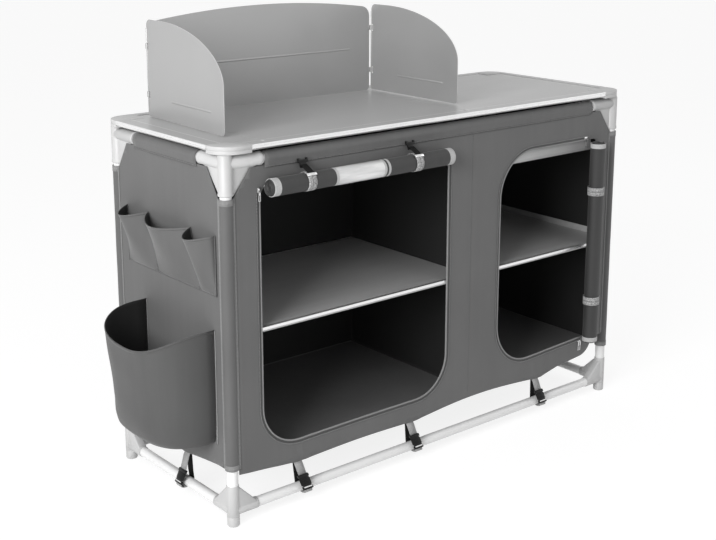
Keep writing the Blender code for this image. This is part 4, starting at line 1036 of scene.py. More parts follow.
def build_windscreen():
    """A back panel with rolled knuckles, and two wings that swing on them."""
    half = (SCREEN_RIGHT_X - SCREEN_LEFT_X) / 2
    place = at(SCREEN_LEFT_X + half, HINGE_Y, SCREEN_FOOT)
    setback = at(0, 0.0045, 0)
    parts = [moved(slab(screen_back_outline(), SCREEN), setback @ FACING["front"]),
             moved(rib_shape(-0.253, 0.253, 0.105), setback)]
    for side in (-1, 1):
        for height in KNUCKLE_HEIGHTS:
            parts += knuckle(side * half, -side, height)
    make_piece("screen_back", moved(joined(*parts), place), screen_sheet, "windscreen",
               "windscreen_back", soft=0.0003)
    rim_wire(screen_back_outline(), "screen_back_rim", place @ setback, "windscreen")
    for name, x, opening in (("left", SCREEN_LEFT_X, 2.0), ("right", SCREEN_RIGHT_X, 0.5)):
        turn = at(x, HINGE_Y, SCREEN_FOOT, Matrix.Rotation(math.radians(-90 - opening), 4, "Z"))
        leaf = moved(slab(wing_outline(), SCREEN), FACING["front"])
        bead = lathe([(0, 0.010), (0.0016, 0.010), (0.0018, 0.0105), (0.0018, 0.1945), (0.0016, 0.195),
                      (0, 0.195)], 20, False)
        wing = joined(leaf, bead, rib_shape(0.10, 0.262, 0.045))
        make_piece("screen_wing_" + name, moved(wing, turn), screen_sheet, "wing_" + name,
                   "windscreen_wing_" + name, soft=0.0003)
        rim_wire(wing_outline(), f"screen_wing_{name}_rim", turn, "wing_" + name)


def build_shelves():
    """A shelf on each side of the divider, cut away round the legs."""
    for side, x0, x1 in (("left", -BOARD_X, DIVIDER_X - DIVIDER_GAP),
                         ("right", DIVIDER_X + DIVIDER_GAP, BOARD_X)):
        board = moved(slab(notched(x0, x1, BOARD_Y, LEG_NOTCH), BOARD), at(0, 0, SHELF_TOP - BOARD / 2))
        make_piece("board_shelf_" + side, board, shelf_laminate, instead_of="shelf_" + side,
                   soft=0.0006)


def build_floor():
    """The floor board in its cloth cover, its front right corner cut away."""
    outline = notched(-BOARD_X, BOARD_X, BOARD_Y, LEG_NOTCH)
    front_right = slice(6, 9)
    outline[front_right] = [(BOARD_X, -0.148), (0.496, -0.148), (0.496, -BOARD_Y)]
    floor = moved(slab(outline, BOARD), at(0, 0, FLOOR_TOP - BOARD / 2))
    make_piece("covered_floor", floor, floor_cloth, instead_of="floor_board", soft=0.0015)


def build_shelf_edges():
    """Bright angle strips on the shelves' front and back edges, and an upstand at the right wall."""
    end = LEG_NOTCH[0] - 0.001
    gap = DIVIDER_GAP + 0.001
    for side, x0, x1 in (("left", -end, DIVIDER_X - gap), ("right", DIVIDER_X + gap, end)):
        length = x1 - x0
        middle = (x0 + x1) / 2
        strips = []
        for sign in (-1, 1):
            upright = (middle, sign * (BOARD_Y - 0.0004), SHELF_TOP - 0.0027)
            flat = (middle, sign * (BOARD_Y - 0.004), SHELF_TOP)
            strips += [block((length, 0.0012, 0.0062), upright, 0.0004),
                       block((length, 0.008, 0.0008), flat, 0.0003)]
        make_piece("shelf_edge_" + side, joined(*strips), bright_x)
    rise = block((0.0016, 0.36, 0.016), (BOARD_X - 0.0010, 0, SHELF_TOP + 0.008), 0.0004)
    make_piece("shelf_upstand_right", rise, shelf_laminate)


def doorway_outlines():
    """The two doorways, each from its lower left corner round to its upper left one."""
    x0, x1, z0, z1 = LEFT_DOORWAY
    first = rounded([(x0, z0, 0.090), (x1, z0, 0.090), (x1, z1, 0.030), (x0, z1, 0.030)], DOORWAY_STEPS)
    x0, x1, z0, z1 = RIGHT_DOORWAY
    second = rounded([(x0, z0, 0.105), (x1, z0 + 0.014, 0.012), (x1, z1, 0.012), (x0, z1, 0.105)],
                     DOORWAY_STEPS)
    return first, second


def long_top():
    """The upper edge of the front or back, from the right leg round to the left one."""
    return mirrored([(WALL_END, SLEEVE_ENDS[1]), (SLOPE_X, SHOULDER), (SHOULDER_X, SHOULDER),
                     (SHOULDER_X, SEAM_HEIGHT + 0.002)])


def side_hem(strap):
    """The bottom edge of a side wall, pulled down at its strap."""
    half = STRAP_WIDTH / 2
    drop = SIDE_HEM_END - SIDE_HEM_AT_STRAP
    before = []
    after = []
    for share in (0, 0.25, 0.5, 0.75):
        height = SIDE_HEM_END - drop * share ** 1.3
        before.append((-SIDE_WALL_END + (strap - half + SIDE_WALL_END) * share, height))
        after.append((SIDE_WALL_END + (strap + half - SIDE_WALL_END) * share, height))
    return before + [(strap - half, SIDE_HEM_AT_STRAP), (strap + half, SIDE_HEM_AT_STRAP)] + after[::-1]


def build_walls():
    """Front, back and side walls, grey outside and black inside."""
    right_corner = arc((0.480, FRONT_RIGHT_HEM), (0.048, 0.0435), -90, 0, 10)
    front_hem = long_hem(FRONT_STRAPS, [(0.400, 0.110), *right_corner, (WALL_END, FRONT_RIGHT_HEM)])
    back_hem = long_hem(BACK_STRAPS, [(WALL_END, HEM_END)])
    side_top = mirrored([(SIDE_WALL_END, 0.694), (HALF_Y - 0.0148, 0.694), (SLOPE_Y, SHOULDER),
                         (SHOULDER_Y, SHOULDER), (SHOULDER_Y, SEAM_HEIGHT + 0.002)])
    for panel, outline, holes, flat, area in (
            (front, front_hem + long_top(), doorway_outlines(), (1.16, 0.66), 0.28),
            (back, back_hem + long_top(), (), (1.16, 0.66), 0.74),
            (left, side_hem(-SIDE_STRAP_Y) + side_top, (), (0.40, 0.65), 0.25),
            (right, side_hem(SIDE_STRAP_Y) + side_top, (), (0.40, 0.65), 0.25)):
        cloth = flat_shape(outline, holes, CELL)
        for vert in cloth.verts:
            vert.co = panel.point(vert.co.x, vert.co.y)
        face_away(cloth, towards=panel.outward)
        piece = make_piece("cloth_" + panel.side, cloth, [cupboard_cloth, lining_cloth],
                           instead_of=panel.side + "_panel", thickness=FABRIC, lined=True)


def build_divider():
    """The black cloth wall between the two halves, held flat at its edges and at the shelves."""
    columns, rows = 30, 40
    depth = HALF_Y + INNER_FACE - 0.001
    bottom = FLOOR_TOP + 0.0003
    top = RAIL_HEIGHTS["top"] - RAIL_SLEEVE_RADIUS - 0.0005

    def place(i, j):
        y = -depth + 2 * depth * i / columns
        z = bottom + (top - bottom) * j / rows
        calm = min(1.0, min(i, columns - i) / 5) * min(1.0, min(j, rows - j) / 5)
        if abs(z - SHELF_TOP) < 0.03:
            calm = 0.0
        wave = noise.noise(Vector((y * 9, z * 5, 3.0)))
        return Vector((DIVIDER_X - FABRIC / 2 + 0.0012 * wave * calm, y, z))

    cloth = face_away(grid(columns, rows, place, lambda i, j: (i * 0.014, j * 0.015)), towards=(-1, 0, 0))
    piece = make_piece("cloth_divider", cloth, lining_cloth, instead_of="divider_panel",
                       thickness=FABRIC)


def build_rail_sleeves():
    """The tubes of cloth round the top rails, sewn down along a seam just under the rail."""
    height = RAIL_HEIGHTS["top"]
    radius = RAIL_SLEEVE_RADIUS
    loop = [(FACE + 0.0010, SEAM_HEIGHT - 0.003), (FACE + 0.0012, SEAM_HEIGHT)]
    loop += arc((0, height), (radius, radius), -28, 208, 28)
    loop += [(INNER_FACE - 0.0024, height - 0.0130), (INNER_FACE - 0.0010, SEAM_HEIGHT),
             (INNER_FACE - 0.0008, SEAM_HEIGHT - 0.003)]
    last = len(loop) - 1
    lengths = running(loop)
    cell = 0.012
    for panel, half in ((front, SHOULDER_X), (back, SHOULDER_X), (left, SHOULDER_Y), (right, SHOULDER_Y)):
        columns = round(2 * half / cell)
        along = [-half + 2 * half * i / columns for i in range(columns + 1)]
        middle = panel.outward * panel.rail_distance

        def place(i, j, panel=panel, along=along, middle=middle):
            out, z = loop[j]
            pucker = 0.008 * noise.noise(Vector((along[i] * 60, j * 0.4, panel.seed)))
            free = min(1.0, abs(j - 1) / 4) * min(1.0, (last - j) / 4)
            return middle + panel.outward * (out * (1 + pucker * free)) + panel.sideways(along[i], z)

        sleeve = grid(columns, last, place, lambda i, j: (i * cell, lengths[j]))
        face_away(sleeve, point=middle + Vector((0, 0, height)))
        piece = make_piece("rail_sleeve_" + panel.side, sleeve, cupboard_cloth,
                           thickness=0.0009)
        seam = edge_tape(panel, [(h, SEAM_HEIGHT - 0.0010) for h in along], 0.0040, 0.0, 0.0016)
        seam_piece = make_piece("rail_seam_" + panel.side, seam, dark_hem, thickness=0.0006)
        2 * half


def build_leg_sleeves():
    """Cloth sleeves round the legs, hemmed at both ends and sewn to the walls beside them. The pale upright
    strips along those seams are partly the seams and partly painted highlight along the sleeve's lit edges.
    """
    low, high = SLEEVE_ENDS
    columns, rows = 40, 44
    for corner, (side_x, side_y, _) in CORNERS.items():
        centre = Vector((side_x * HALF_X, side_y * HALF_Y, 0))

        def place(i, j, centre=centre):
            angle = 2 * math.pi * i / columns
            z = low + (high - low) * j / rows
            fold = noise.noise(Vector((math.cos(angle) * 1.5, math.sin(angle) * 1.5, z * 14)))
            radius = SLEEVE_RADIUS - 0.0002 + 0.0004 * fold * min(1.0, min(j, rows - j) / 3)
            return centre + Vector((radius * math.cos(angle), radius * math.sin(angle), z))

        sleeve = grid(columns, rows, place, lambda i, j: (i / columns * 0.0905, j / rows * 0.57))
        bmesh.ops.recalc_face_normals(sleeve, faces=sleeve.faces)
        face_away(sleeve, point=centre + Vector((0, 0, 0.4)))
        piece = make_piece("leg_sleeve_" + corner, sleeve, sleeve_cloth, thickness=0.0009)
        tapes = []
        radius = SLEEVE_RADIUS + 0.0005
        for z in (low + 0.0062, high - 0.0062):
            ring = [centre + Vector((x, y, z)) for x, y in arc((0, 0), (radius, radius), 0, 360, columns)]
            tapes.append(strip(ring, (0, 0, 1), 0.0124, 2, point=centre + Vector((0, 0, z))))
        # Pale upright strips where the sleeve meets each wall: partly seam, partly painted highlight along
        # the sleeve's lit edges.
        beside = 0.0128
        outside = FACE + 0.0010
        start = FRONT_RIGHT_HEM + 0.003 if corner == "front_right" else low
        for x, y, foot, across, facing in (
                (-side_x * beside, side_y * outside, start, (1, 0, 0), (0, side_y, 0)),
                (side_x * outside, -side_y * beside, low, (0, 1, 0), (side_x, 0, 0))):
            points = line(centre + Vector((x, y, foot)), centre + Vector((x, y, high)), 40)
            tapes.append(strip(points, across, 0.0052, 2, towards=facing))
        hems = make_piece("leg_sleeve_hems_and_highlights_" + corner, joined(*tapes), pale_hem_and_highlight,
                          thickness=0.0008)


def chain(panel, spots, out):
    """A row of small zip teeth along a route, one small block repeated."""
    tooth = block((0.0022, 0.0012, 0.0014), bevel=0.0003, segments=1)
    copies = []
    for (h, z), (nh, nz) in zip(spots, normals_of(spots)):
        axes = Matrix((panel.sideways(nh, nz), panel.outward, panel.sideways(nz, -nh)))
        place = axes.transposed().to_4x4()
        place.translation = panel.point(h, z, out)
        copies.append(place)
    return moved(tooth, *copies)


def build_doorway_edges():
    """Bindings round both doorways, and half of each zip on its dark tape."""
    first, second = doorway_outlines()
    corner = DOORWAY_STEPS + 1
    x0, x1, _, top = LEFT_DOORWAY
    left_route = [(x0, top - 0.02), *first[:2 * corner], (x1, top - 0.02)]
    _, x1, bottom, top = RIGHT_DOORWAY
    right_route = [(x1 - 0.03, top), *second[3 * corner:], *second[:corner], (x1 - 0.03, bottom + 0.0128)]
    for name, outline in (("left", left_route), ("right", right_route)):
        route = dense(outline)
        outer = edge_tape(front, route, 0.0022, -0.0011, 0.0007, rows=2, crown=0.0003)
        inner = edge_tape(front, route, 0.0022, -0.0011, -FABRIC - 0.0004)
        rim = [front.point(h, z, -FABRIC / 2) for h, z in route]
        lip = strip(rim, front.outward, FABRIC + 0.0014, 2)
        edge = make_piece("doorway_binding_" + name, joined(outer, inner, lip), binding,
                          thickness=0.0005)
        tape = make_piece("zip_tape_" + name, edge_tape(front, route, 0.0060, -0.0064, 0.0004), zip_tape,
                          thickness=0.0004)
        running(route)[-1]
        outside = [(h - nh * 0.0086, z - nz * 0.0086) for (h, z), (nh, nz) in zip(route, normals_of(route))]
        make_piece("zip_teeth_" + name, chain(front, even(outside, 0.0030), 0.0012), zip_coil)


def between_stations(stations, share):
    """The values at a share of the way along stations, on straight lines between them."""
    for before, after in zip(stations, stations[1:]):
        if share <= after[0]:
            t = (share - before[0]) / (after[0] - before[0])
            return [a + (b - a) * t for a, b in zip(before[1:], after[1:])]


def lower_pocket_point(angle_share, rise, out=0.0):
    """A place on the lower pocket's outer side. angle_share runs round it from front to back."""
    bottom, rim = POCKET_HEIGHTS
    y0, y1 = POCKET_SPAN
    side = -math.cos(math.pi * angle_share)
    reach = math.sin(math.pi * angle_share)
    depth_share, width_share = between_stations(POCKET_SECTIONS, rise)
    across = math.copysign(abs(side) ** 0.75, side)
    sag = 0.037 * (1.25 - 0.5 * angle_share) * reach ** 2
    dent = 0.004 * noise.noise(Vector((angle_share * 5, rise * 3, 2.0))) * reach * min(1.0, rise * 4)
    depth = max(0.0, POCKET_DEPTH * depth_share * reach ** 0.62 - 0.003 * reach + dent + out)
    return Vector((POCKET_X - depth, (y0 + y1) / 2 + (y1 - y0) / 2 * width_share * across,
                   bottom + (rim - sag - bottom) * rise))


def build_lower_pocket():
    """The big pocket low on the left wall, open at its top."""
    columns = 60
    rows = 42
    stations = [0.0, 0.008] + [0.02 + 0.98 * (j / rows) for j in range(rows + 1)]

    def place(i, j):
        point = lower_pocket_point(i / columns, stations[j])
        return Vector((POCKET_X, point.y, point.z + 0.004)) if j == 0 else point

    bag = grid(columns, len(stations) - 1, place, lambda i, j: (i * 0.009, stations[j] * 0.24))
    inside = Vector((POCKET_X + 0.02, -0.0265, 0.30))
    face_away(bag, point=inside)
    piece = make_piece("pocket_lower", bag, [pocket_cloth, lining_cloth],
                       instead_of="lower_pocket", thickness=FABRIC, lined=True)
    rim = []
    rim_side = []
    for i in range(columns + 1):
        top = lower_pocket_point(i / columns, 1.0, 0.0005)
        below = lower_pocket_point(i / columns, 0.975, 0.0005)
        rim.append((top + below) / 2)
        rim_side.append(top - below)
    tape = strip(rim, rim_side, 0.0055, 2, point=inside + Vector((0, 0, 0.08)))
    hem = make_piece("pocket_lower_hem", tape, pocket_cloth, thickness=0.0009)
    edges = [strip(line((POCKET_X - 0.0012, y, 0.17), (POCKET_X - 0.0012, y, 0.417), 20), (0, 1, 0), 0.006,
                   towards=(-1, 0, 0)) for y in POCKET_SPAN]
    seams = make_piece("pocket_lower_seams", joined(*edges), pale_hem_and_highlight, thickness=0.0008)


def build_tool_pockets():
    """A strip of three pockets for kitchen tools, sewn down between them."""
    bottom, top = TOOLS_HEIGHTS
    steps = 18
    rows = 22
    columns = 3 * steps

    def place(i, j, out=0.0):
        share = j / rows
        pocket = min(i // steps, 2)
        along = (i - pocket * steps) / steps
        arch = math.sin(math.pi * along)
        bulge = 0.045 * share ** 0.8 * arch ** 0.8
        sag = 0.009 * arch * share ** 3
        dent = 0.0012 * noise.noise(Vector((pocket * 3 + along * 2.5, share * 3, 5.0))) * arch
        y0, y1 = [low + (high - low) * share for low, high in TOOLS_LINES[pocket:pocket + 2]]
        x = POCKET_X - FABRIC - max(0.0, bulge + dent) - out
        return Vector((x, y0 + (y1 - y0) * along, bottom + (top - bottom) * share - sag))

    bag = grid(columns, rows, place, lambda i, j: (i * 0.0075, j * 0.0057))
    face_away(bag, towards=(-1, 0, 0))
    piece = make_piece("pocket_tools", bag, [sleeve_cloth, lining_cloth],
                       instead_of="utensil_pockets", thickness=FABRIC - 0.0002, lined=True)
    rim = [place(i, rows - 0.4, 0.0004) for i in range(columns + 1)]
    rim_side = [place(i, rows) - place(i, rows - 1) for i in range(columns + 1)]
    tape = strip(rim, rim_side, 0.0050, 2, towards=(-1, 0, 0))
    hem = make_piece("pocket_tools_hem", tape, sleeve_cloth, thickness=0.0008)
    upright_x = POCKET_X - FABRIC - 0.0012
    seams = [strip(line((upright_x, low, bottom), (upright_x, high, top), 16), (0, 1, 0), 0.0045,
                   towards=(-1, 0, 0)) for low, high in TOOLS_LINES]
    foot = [Vector((POCKET_X - FABRIC - 0.0010, y, bottom + 0.002)) for y, _ in TOOLS_LINES]
    seams.append(strip(line(foot[0], foot[-1], 20), (0, 0, 1), 0.004, towards=(-1, 0, 0)))
    seam_piece = make_piece("pocket_tools_seams", joined(*seams), dark_hem, thickness=0.0008)


def spiral(turns, inner, sides, start):
    """A rolled cloth's end view: for each point its turn, and its place on a roll of radius 1."""
    count = int(turns * sides)
    points = []
    for k in range(count + 1):
        angle = start + 2 * math.pi * k / sides
        share = inner + (1 - inner) * k / count
        points.append((k / sides, share * math.cos(angle), share * math.sin(angle)))
    return points


def rolled(name, node, ends, stations, coil, half, place, hem, trims=()):
    """A rolled door, bound along its hem at both ends.

    coil is its end view and half the roll's two half sizes. place turns a place along the door and two
    across it into a point. A trim is a part of its length that shows another of its finishes.
    """
    low, high = ends
    lengths = running([(a * half[0], b * half[1]) for _, a, b in coil])
    outer_turn = coil[-1][0] - 1

    def spot(i, j):
        turn, a, b = coil[j]
        along = stations[i]
        near = max(0.0, 1 - (along - low) / 0.03) - max(0.0, 1 - (high - along) / 0.03)
        recess = 0.0045 if turn > outer_turn else 0.001 + 0.003 * math.sin(turn * 2.6) ** 2
        return place(along, along + near * recess, a * half[0], b * half[1], j)

    bm = grid(len(stations) - 1, len(coil) - 1, spot, lambda i, j: (stations[i] - low, lengths[j]))
    outer = lengths[min(j for j, point in enumerate(coil) if point[0] >= outer_turn)]
    flat = bm.loops.layers.uv.active
    for face in bm.faces:
        along, across = sum((loop[flat].uv for loop in face.loops), Vector((0, 0))) / len(face.loops)
        if across > outer and min(along, high - low - along) < hem:
            face.material_index = 1
        for start, end, index in trims:
            if start < along + low < end:
                face.material_index = index
    face_away(bm, point=place((low + high) / 2, (low + high) / 2, 0, 0, 0))
    return make_piece(name, bm, [door_cloth, door_binding, window_film], instead_of=node,
                      thickness=0.0011)


def pinch(along, bands, depth, spread):
    """How much the elastic bands squeeze a roll at a place along it."""
    return depth * math.exp(-min(abs(along - band) for band in bands) / spread)


def build_left_roll():
    """The left door, rolled up from its bottom and held under its own top edge."""
    x0, x1 = LEFT_ROLL
    film = (-0.334, -0.212)
    trims = ((film[0] - 0.007, film[0], 1), (*film, 2), (film[1], film[1] + 0.006, 1),
             (film[1] + 0.011, film[1] + 0.017, 1))
    cuts = [x for start, end, _ in trims for x in (start, end)]
    margin = 0.020
    ends = (0, 0.0025, 0.010, 0.0185, margin)
    between = [x0 + margin + (x1 - x0 - 2 * margin) * k / 44 for k in range(1, 44)]
    stations = [x for x in between if all(abs(x - cut) > 0.003 for cut in cuts)] + cuts
    stations = sorted(set(stations + [x0 + end for end in ends] + [x1 - end for end in ends]))

    def place(x, end_x, y, z, j):
        wobble = noise.noise(Vector((x * 12, j * 0.02, 1.0)))
        squeeze = 0.975 + 0.01 * wobble - pinch(x, LEFT_BANDS, 0.03, 0.012)
        if film[0] < x < film[1]:
            squeeze += 0.02 + 0.008 * noise.noise(Vector((x * 45, j * 0.09, 4.0)))
        return Vector((end_x, LEFT_ROLL_Y + y * squeeze, LEFT_ROLL_Z + z * squeeze))

    coil = spiral(8.25, 0.11, 28, -math.pi / 2)
    piece = rolled("rolled_door_left", "door_roll_left", LEFT_ROLL, stations, coil,
                   (LEFT_ROLL_RADIUS, LEFT_ROLL_RADIUS), place, 0.0188, trims)
    edge = [(-0.2208, -0.007), (-0.2206, -0.001), (-0.2202, 0.0050), (-0.2198, 0.0095)]

    def edge_place(i, j):
        y, rise = edge[j]
        return Vector((x0 + margin + (x1 - x0 - 2 * margin) * i / 40, y, LEFT_ROLL_Z + rise))

    flap = face_away(grid(40, 3, edge_place, lambda i, j: (i * 0.012, j * 0.008)), towards=(0, -1, 0))
    flap_piece = make_piece("door_top_left", flap, door_cloth, thickness=0.0008)


def build_right_roll():
    """The right door, rolled to the side round an upright axis."""
    z0, z1 = RIGHT_ROLL
    margin = 0.0145
    ends = (0, 0.0025, 0.008, 0.0133, margin)
    stations = [z0 + end for end in ends] + [z1 - end for end in ends]
    stations = sorted(stations + [z0 + margin + (z1 - z0 - 2 * margin) * k / 48 for k in range(1, 48)])

    def place(z, end_z, x, y, j):
        wobble = noise.noise(Vector((z * 9, j * 0.03, 6.0)))
        squeeze = 0.994 + 0.02 * wobble - pinch(z, RIGHT_BANDS.values(), 0.05, 0.014)
        return Vector((RIGHT_ROLL_X + x * squeeze, RIGHT_ROLL_Y + y * squeeze, end_z))

    piece = rolled("rolled_door_right", "door_roll_right", RIGHT_ROLL, stations, spiral(5.0, 0.12, 36, 0.0),
                   RIGHT_ROLL_HALF, place, 0.0135)


def elastic_band(name, node, ring, across, middle):
    """A band of elastic round a rolled door, its surface a little uneven."""
    band = strip(ring, across, 0.0205, 4, point=middle)
    for vert in band.verts:
        away = vert.co - middle
        away -= Vector(across) * away.dot(Vector(across))
        vert.co += away.normalized() * (0.0005 + 0.0003 * noise.noise(vert.co * 300))
    make_piece(name, band, pale_elastic, instead_of=node, thickness=0.0009)


def build_left_bands():
    """Elastic bands round the left door, hooked by webbing to toggles on the wall."""
    radius = LEFT_ROLL_RADIUS - 0.0006
    for number, x in enumerate(LEFT_BANDS, 1):
        middle = Vector((x, LEFT_ROLL_Y, LEFT_ROLL_Z))
        ring = [middle + Vector((0, y, z)) for y, z in arc((0, 0), (radius, radius), 0, 360, 48)]
        elastic_band(f"elastic_left_{number}", f"door_band_left_{number}", ring, (1, 0, 0), middle)
        hook = joined(block((0.0250, 0.0022, 0.0062), (0, 0, 0), 0.0009),
                      block((0.0180, 0.0012, 0.0016), (0, -0.0014, 0), 0.0005))
        tilt = Matrix.Rotation(math.radians(-40), 4, "X")
        hook = moved(hook, at(x, LEFT_ROLL_Y - 0.0141, LEFT_ROLL_Z + 0.0167, tilt))
        make_piece(f"band_hook_left_{number}", hook, cast_zip)
        run = [(x, -0.2540, LEFT_ROLL_Z + 0.0185), (x, -0.2470, LEFT_ROLL_Z + 0.0235),
               (x, -0.2375, LEFT_ROLL_Z + 0.0285), (x, -0.2285, LEFT_ROLL_Z + 0.0325)]
        webbing = strip(run, (1, 0, 0), 0.0155, 2, towards=(0, -1, 1))
        make_piece(f"band_webbing_left_{number}", webbing, black_webbing_and_painted_shade, thickness=0.0012)
        toggle = [block((0.0250, 0.0044, 0.0058), (0, 0, 0.0045), 0.0012),
                  block((0.0165, 0.0040, 0.0110), (0, 0, -0.0030), 0.0012)]
        toggle += [block((0.0046, 0.0042, 0.0066), (h, 0, 0.0080), 0.0012) for h in (-0.0102, 0.0102)]
        toggle = moved(joined(*toggle), at(x, -0.2262, 0.7450, Matrix.Rotation(math.radians(-14), 4, "X")))
        make_piece(f"band_toggle_left_{number}", toggle, black_plastic)


def build_right_bands():
    """Elastic bands round the right door."""
    wide, deep = RIGHT_ROLL_HALF
    for name, z in RIGHT_BANDS.items():
        middle = Vector((RIGHT_ROLL_X, RIGHT_ROLL_Y, z))
        outline = arc((0, 0), (wide - 0.0004, deep - 0.0002), 0, 360, 60)
        ring = [middle + Vector((x, y, 0)) for x, y in outline]
        elastic_band("elastic_right_" + name, "door_band_right_" + name, ring, (0, 0, 1), middle)


def strap_buckle():
    """A ladder buckle: two end bars, a ribbed body and two side rails."""
    parts = [block((0.0275, 0.0064, 0.0072), (0, 0, 0.0146), 0.0014),
             block((0.0222, 0.0058, 0.0200), (0, 0, 0.0010), 0.0012),
             block((0.0262, 0.0060, 0.0070), (0, 0, -0.0130), 0.0014)]
    parts += [block((0.0044, 0.0040, 0.0160), (x, 0.0004, 0.0015), 0.0014) for x in (-0.0112, 0.0112)]
    parts += [block((0.0172, 0.0014, 0.0013), (0, -0.0031, -0.0045 + 0.0032 * k), 0.0004) for k in range(5)]
    return joined(*parts)


def build_straps():
    """Webbing from the hem round the bottom rail and back, drawn tight by a buckle that leans out."""
    rail = RAIL_HEIGHTS["bottom"]
    buckle = strap_buckle()
    lean = at(0, -0.0172, 0.0150, Matrix.Rotation(math.radians(-14), 4, "X"))
    under = [(0, -0.0206, 0.0010), (0, -0.0206, -0.0050), (0, -0.0185, -0.0095), (0, -0.0135, -0.0122),
             (0, -0.0070, -0.0130), (0, 0, -0.0124)]
    for panel in (front, back, left, right):
        stand = Matrix.Translation(panel.outward * panel.rail_distance) @ panel.turn @ STANDING.inverted()
        top = panel.hem - rail
        down = [(0, -0.0066, top + 0.012), (0, -0.0070, top + 0.002), (0, -0.0102, top - 0.008),
                (0, -0.0136, 0.0300)]
        behind = [(0, y, z) for y, z in arc((0, 0), (0.0124, 0.0124), -90, 9, 11)]
        behind += [(0, 0.0120, 0.0060), (0, 0.0070, 0.0260), (0, -0.0012, top - 0.004),
                   (0, -0.0036, top + 0.011)]
        shear = Matrix.Identity(4)
        shear[0][2] = -STRAP_LEAN[panel.side] / top
        shear[0][3] = STRAP_LEAN[panel.side] / 2
        for number, h in enumerate(panel.straps, 1):
            name = f"{panel.side}_{number}" if len(panel.straps) > 1 else panel.side
            place = stand @ Matrix.Translation((h, 0, rail)) @ shear
            tape = joined(strip(down, (1, 0, 0), 0.0205, 2, towards=(0, -1, 0)),
                          strip(under, (1, 0, 0), 0.0200, 2, point=(0, -0.008, 0.002)))
            make_piece("webbing_" + name, moved(tape, place), pale_webbing,
                       instead_of="tension_strap_" + name, thickness=0.0014)
            # The strap's run behind the rail is the same pale webbing, coloured black here as painted
            # shade.
            back_tape = strip(behind, (1, 0, 0), 0.0200, 2, point=(0, -0.004, 0.012))
            make_piece("webbing_behind_painted_shade_" + name, moved(back_tape, place), black_webbing_and_painted_shade,
                       thickness=0.0013)
            make_piece("buckle_" + name, moved(buckle.copy(), place @ lean), black_plastic)
            bar = block((0.0215, 0.0024, 0.0030), (0, -0.0028, -0.0105), 0.0008)
            make_piece("buckle_bar_" + name, moved(bar, place @ lean), cast_zip)
    buckle.free()


def ring_pull(length, half):
    """A flat loop that hangs from a slider, from the origin down."""
    outline = rounded([(-half, -length, 0.0018), (half, -length, 0.0018), (half * 0.7, 0, 0.0012),
                       (-half * 0.7, 0, 0.0012)], 5)
    low = (half - 0.0012, 0.0013 - length)
    high = (half * 0.4, -length * 0.45)
    hole = rounded([(-low[0], low[1], 0.0009), (*low, 0.0009), (*high, 0.0004),
                    (-high[0], high[1], 0.0004)], 4)
    return moved(slab(outline, 0.0011, [hole]), FACING["front"])


def build_sliders():
    """Cast sliders on the zips, with ring pulls that hang from them, two on the lower right one."""
    y = -(HALF_Y + FACE + 0.00205)
    tilt = Matrix.Rotation(math.radians(3), 4, "X")
    for name, x, z, turn, half, pulls in (("left", -0.5085, 0.704, 0, 0.0028, (0,)),
                                          ("right_top", 0.474, 0.6905, 90, 0.0028, (0,)),
                                          ("right_bottom", 0.480, 0.1589, 90, 0.0020, (-0.0032, 0.0032))):
        body = joined(block((0.0064, 0.0016, 0.0105), (0, -0.0006, 0), 0.0006),
                      block((0.0072, 0.0010, 0.0095), (0, 0.0003, 0), 0.0004),
                      block((0.0022, 0.0018, 0.0070), (0, -0.0018, 0), 0.0008))
        body = moved(body, Matrix.Rotation(math.radians(turn), 4, "Y"))
        hanging = [moved(ring_pull(0.0235, half), at(h, -0.0026, 0.0005, tilt)) for h in pulls]
        make_piece("slider_" + name, moved(joined(body, *hanging), at(x, y, z)), cast_zip,
                   "slider_" + name, "zip_slider_" + name)


def build_divider_seams():
    """The sewn lines on the front and back where the divider joins them."""
    heights = [0.125 + (SEAM_HEIGHT - 0.130) * k / 50 for k in range(51)]
    for panel, h in ((front, DIVIDER_X), (back, -DIVIDER_X)):
        seam = edge_tape(panel, [(h, z) for z in heights], 0.0016, 0.0, 0.0003)
        make_piece("divider_seam_" + panel.side, seam, dark_hem, thickness=0.0003)


def build_doorway_facing():
    """The pale facing behind the right doorway's upper edge."""
    def place(i, j):
        x = 0.188 + 0.312 * i / 30
        y = -0.2156 + 0.0004 * noise.noise(Vector((x * 20, j, 0)))
        return Vector((x, y, 0.658 + 0.039 * j / 4))

    facing = face_away(grid(30, 4, place, lambda i, j: (i * 0.0104, j * 0.010)), towards=(0, -1, 0))
    piece = make_piece("doorway_facing_right", facing, facing_cloth_with_painted_shade, thickness=0.0009)


def build_floor_piping():
    """The sewn line along the floor's back edge."""
    deep = HALF_Y + INNER_FACE - 0.0016
    height = FLOOR_TOP + 0.0006
    piping = strip(line((-0.56, deep, height), (0.56, deep, height), 60), (0, 0.35, 1), 0.0030,
                   towards=(0, -1, 1))
    make_piece("floor_piping", piping, dark_hem, thickness=0.0006)


def build_stage():
    """A pale floor that looks white to the camera, keeping the shadow on it."""
    bm = bmesh.new()
    bmesh.ops.create_grid(bm, x_segments=1, y_segments=1, size=14.0)
    mesh = bpy.data.meshes.new("studio_floor")
    bm.to_mesh(mesh)
    bm.free()
    finish = Finish("studio_floor", 0.9)
    finish.colour(finish.noise(0.8, 1.0), grey(250), grey(252))
    shaded = Value(finish, finish.shader.outputs[0])
    glow = finish.node("ShaderNodeEmission", inputs={"Color": WHITE, "Strength": 1.12})
    mixed = finish.node("ShaderNodeMixShader", inputs=(finish.seen_directly() * 0.75, shaded, glow))
    finish.join(finish.tree.nodes["Material Output"].inputs["Surface"], mixed)
    mesh.materials.append(finish.material)
    floor = bpy.data.objects.new("studio_floor", mesh)
    bpy.context.collection.objects.link(floor)


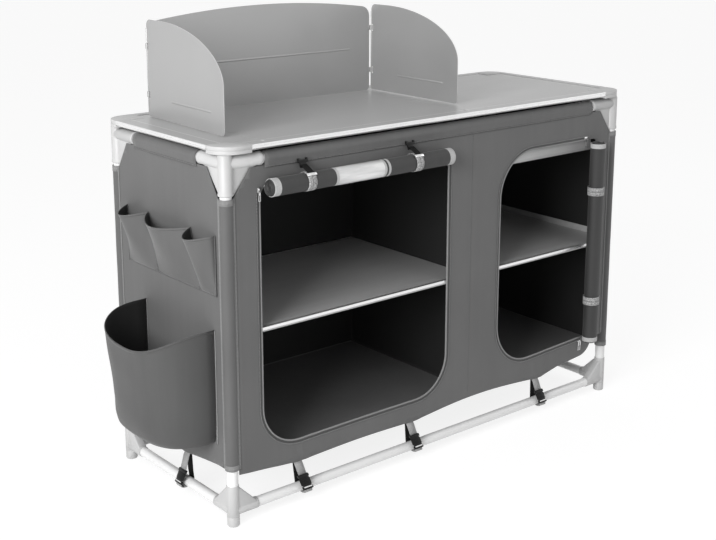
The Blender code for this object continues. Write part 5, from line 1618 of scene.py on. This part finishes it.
def build_light():
    """A white surround that lights the object softly, and three lamps."""
    world = bpy.data.worlds.new("studio")
    world.use_nodes = True
    bpy.context.scene.world = world
    surround = Nodes(world.node_tree)
    surround.tree.nodes.remove(surround.tree.nodes["Background"])
    lit, seen = [surround.node("ShaderNodeBackground", inputs={"Color": WHITE, "Strength": strength})
                 for strength in (0.40, 1.0)]
    mixed = surround.node("ShaderNodeMixShader", inputs=(surround.seen_directly(), lit, seen))
    surround.join(surround.tree.nodes["World Output"].inputs["Surface"], mixed)
    for name, spot, size, power in (("key_lamp", (-3.4, -1.4, 1.9), 1.8, 118),
                                    ("front_lamp", (0.6, -3.4, 2.6), 2.2, 9),
                                    ("right_lamp", (3.4, -1.2, 2.0), 2.0, 12)):
        lamp = bpy.data.lights.new(name, "AREA")
        lamp.size = size
        lamp.energy = power
        holder = bpy.data.objects.new(name, lamp)
        holder.location = spot
        holder.rotation_euler = (Vector((0, 0, 0.4)) - Vector(spot)).to_track_quat("-Z", "Y").to_euler()
        bpy.context.collection.objects.link(holder)


def aim_camera():
    """The photograph's viewpoint."""
    frame_width = 716
    focal_pixels = 1247
    principal_up_pixels = 80
    yaw, pitch = 39.60, 13.11
    camera = bpy.data.cameras.new("photo_view")
    camera.sensor_width = 36
    camera.lens = focal_pixels / frame_width * camera.sensor_width
    camera.shift_y = -principal_up_pixels / frame_width
    camera.clip_end = 60
    holder = bpy.data.objects.new("photo_view", camera)
    holder.location = Vector((-1.886, -2.193, 1.263)) + ORIGIN
    holder.rotation_euler = (math.radians(90 - pitch), 0, math.radians(-yaw))
    bpy.context.collection.objects.link(holder)
    bpy.context.scene.camera = holder


def main():
    """Build every piece, the stage, the light and the camera."""
    for build in (build_legs_and_rails, build_connectors, build_worktop_panels, build_folded_edges,
                  build_corner_caps, build_windscreen, build_shelves, build_floor, build_shelf_edges,
                  build_walls, build_divider, build_rail_sleeves, build_leg_sleeves, build_doorway_edges,
                  build_lower_pocket, build_tool_pockets, build_left_roll, build_right_roll,
                  build_left_bands, build_right_bands, build_straps, build_sliders, build_divider_seams,
                  build_doorway_facing, build_floor_piping, build_stage, build_light, aim_camera):
        build()
    bpy.context.scene.view_settings.view_transform = "Standard"


main()
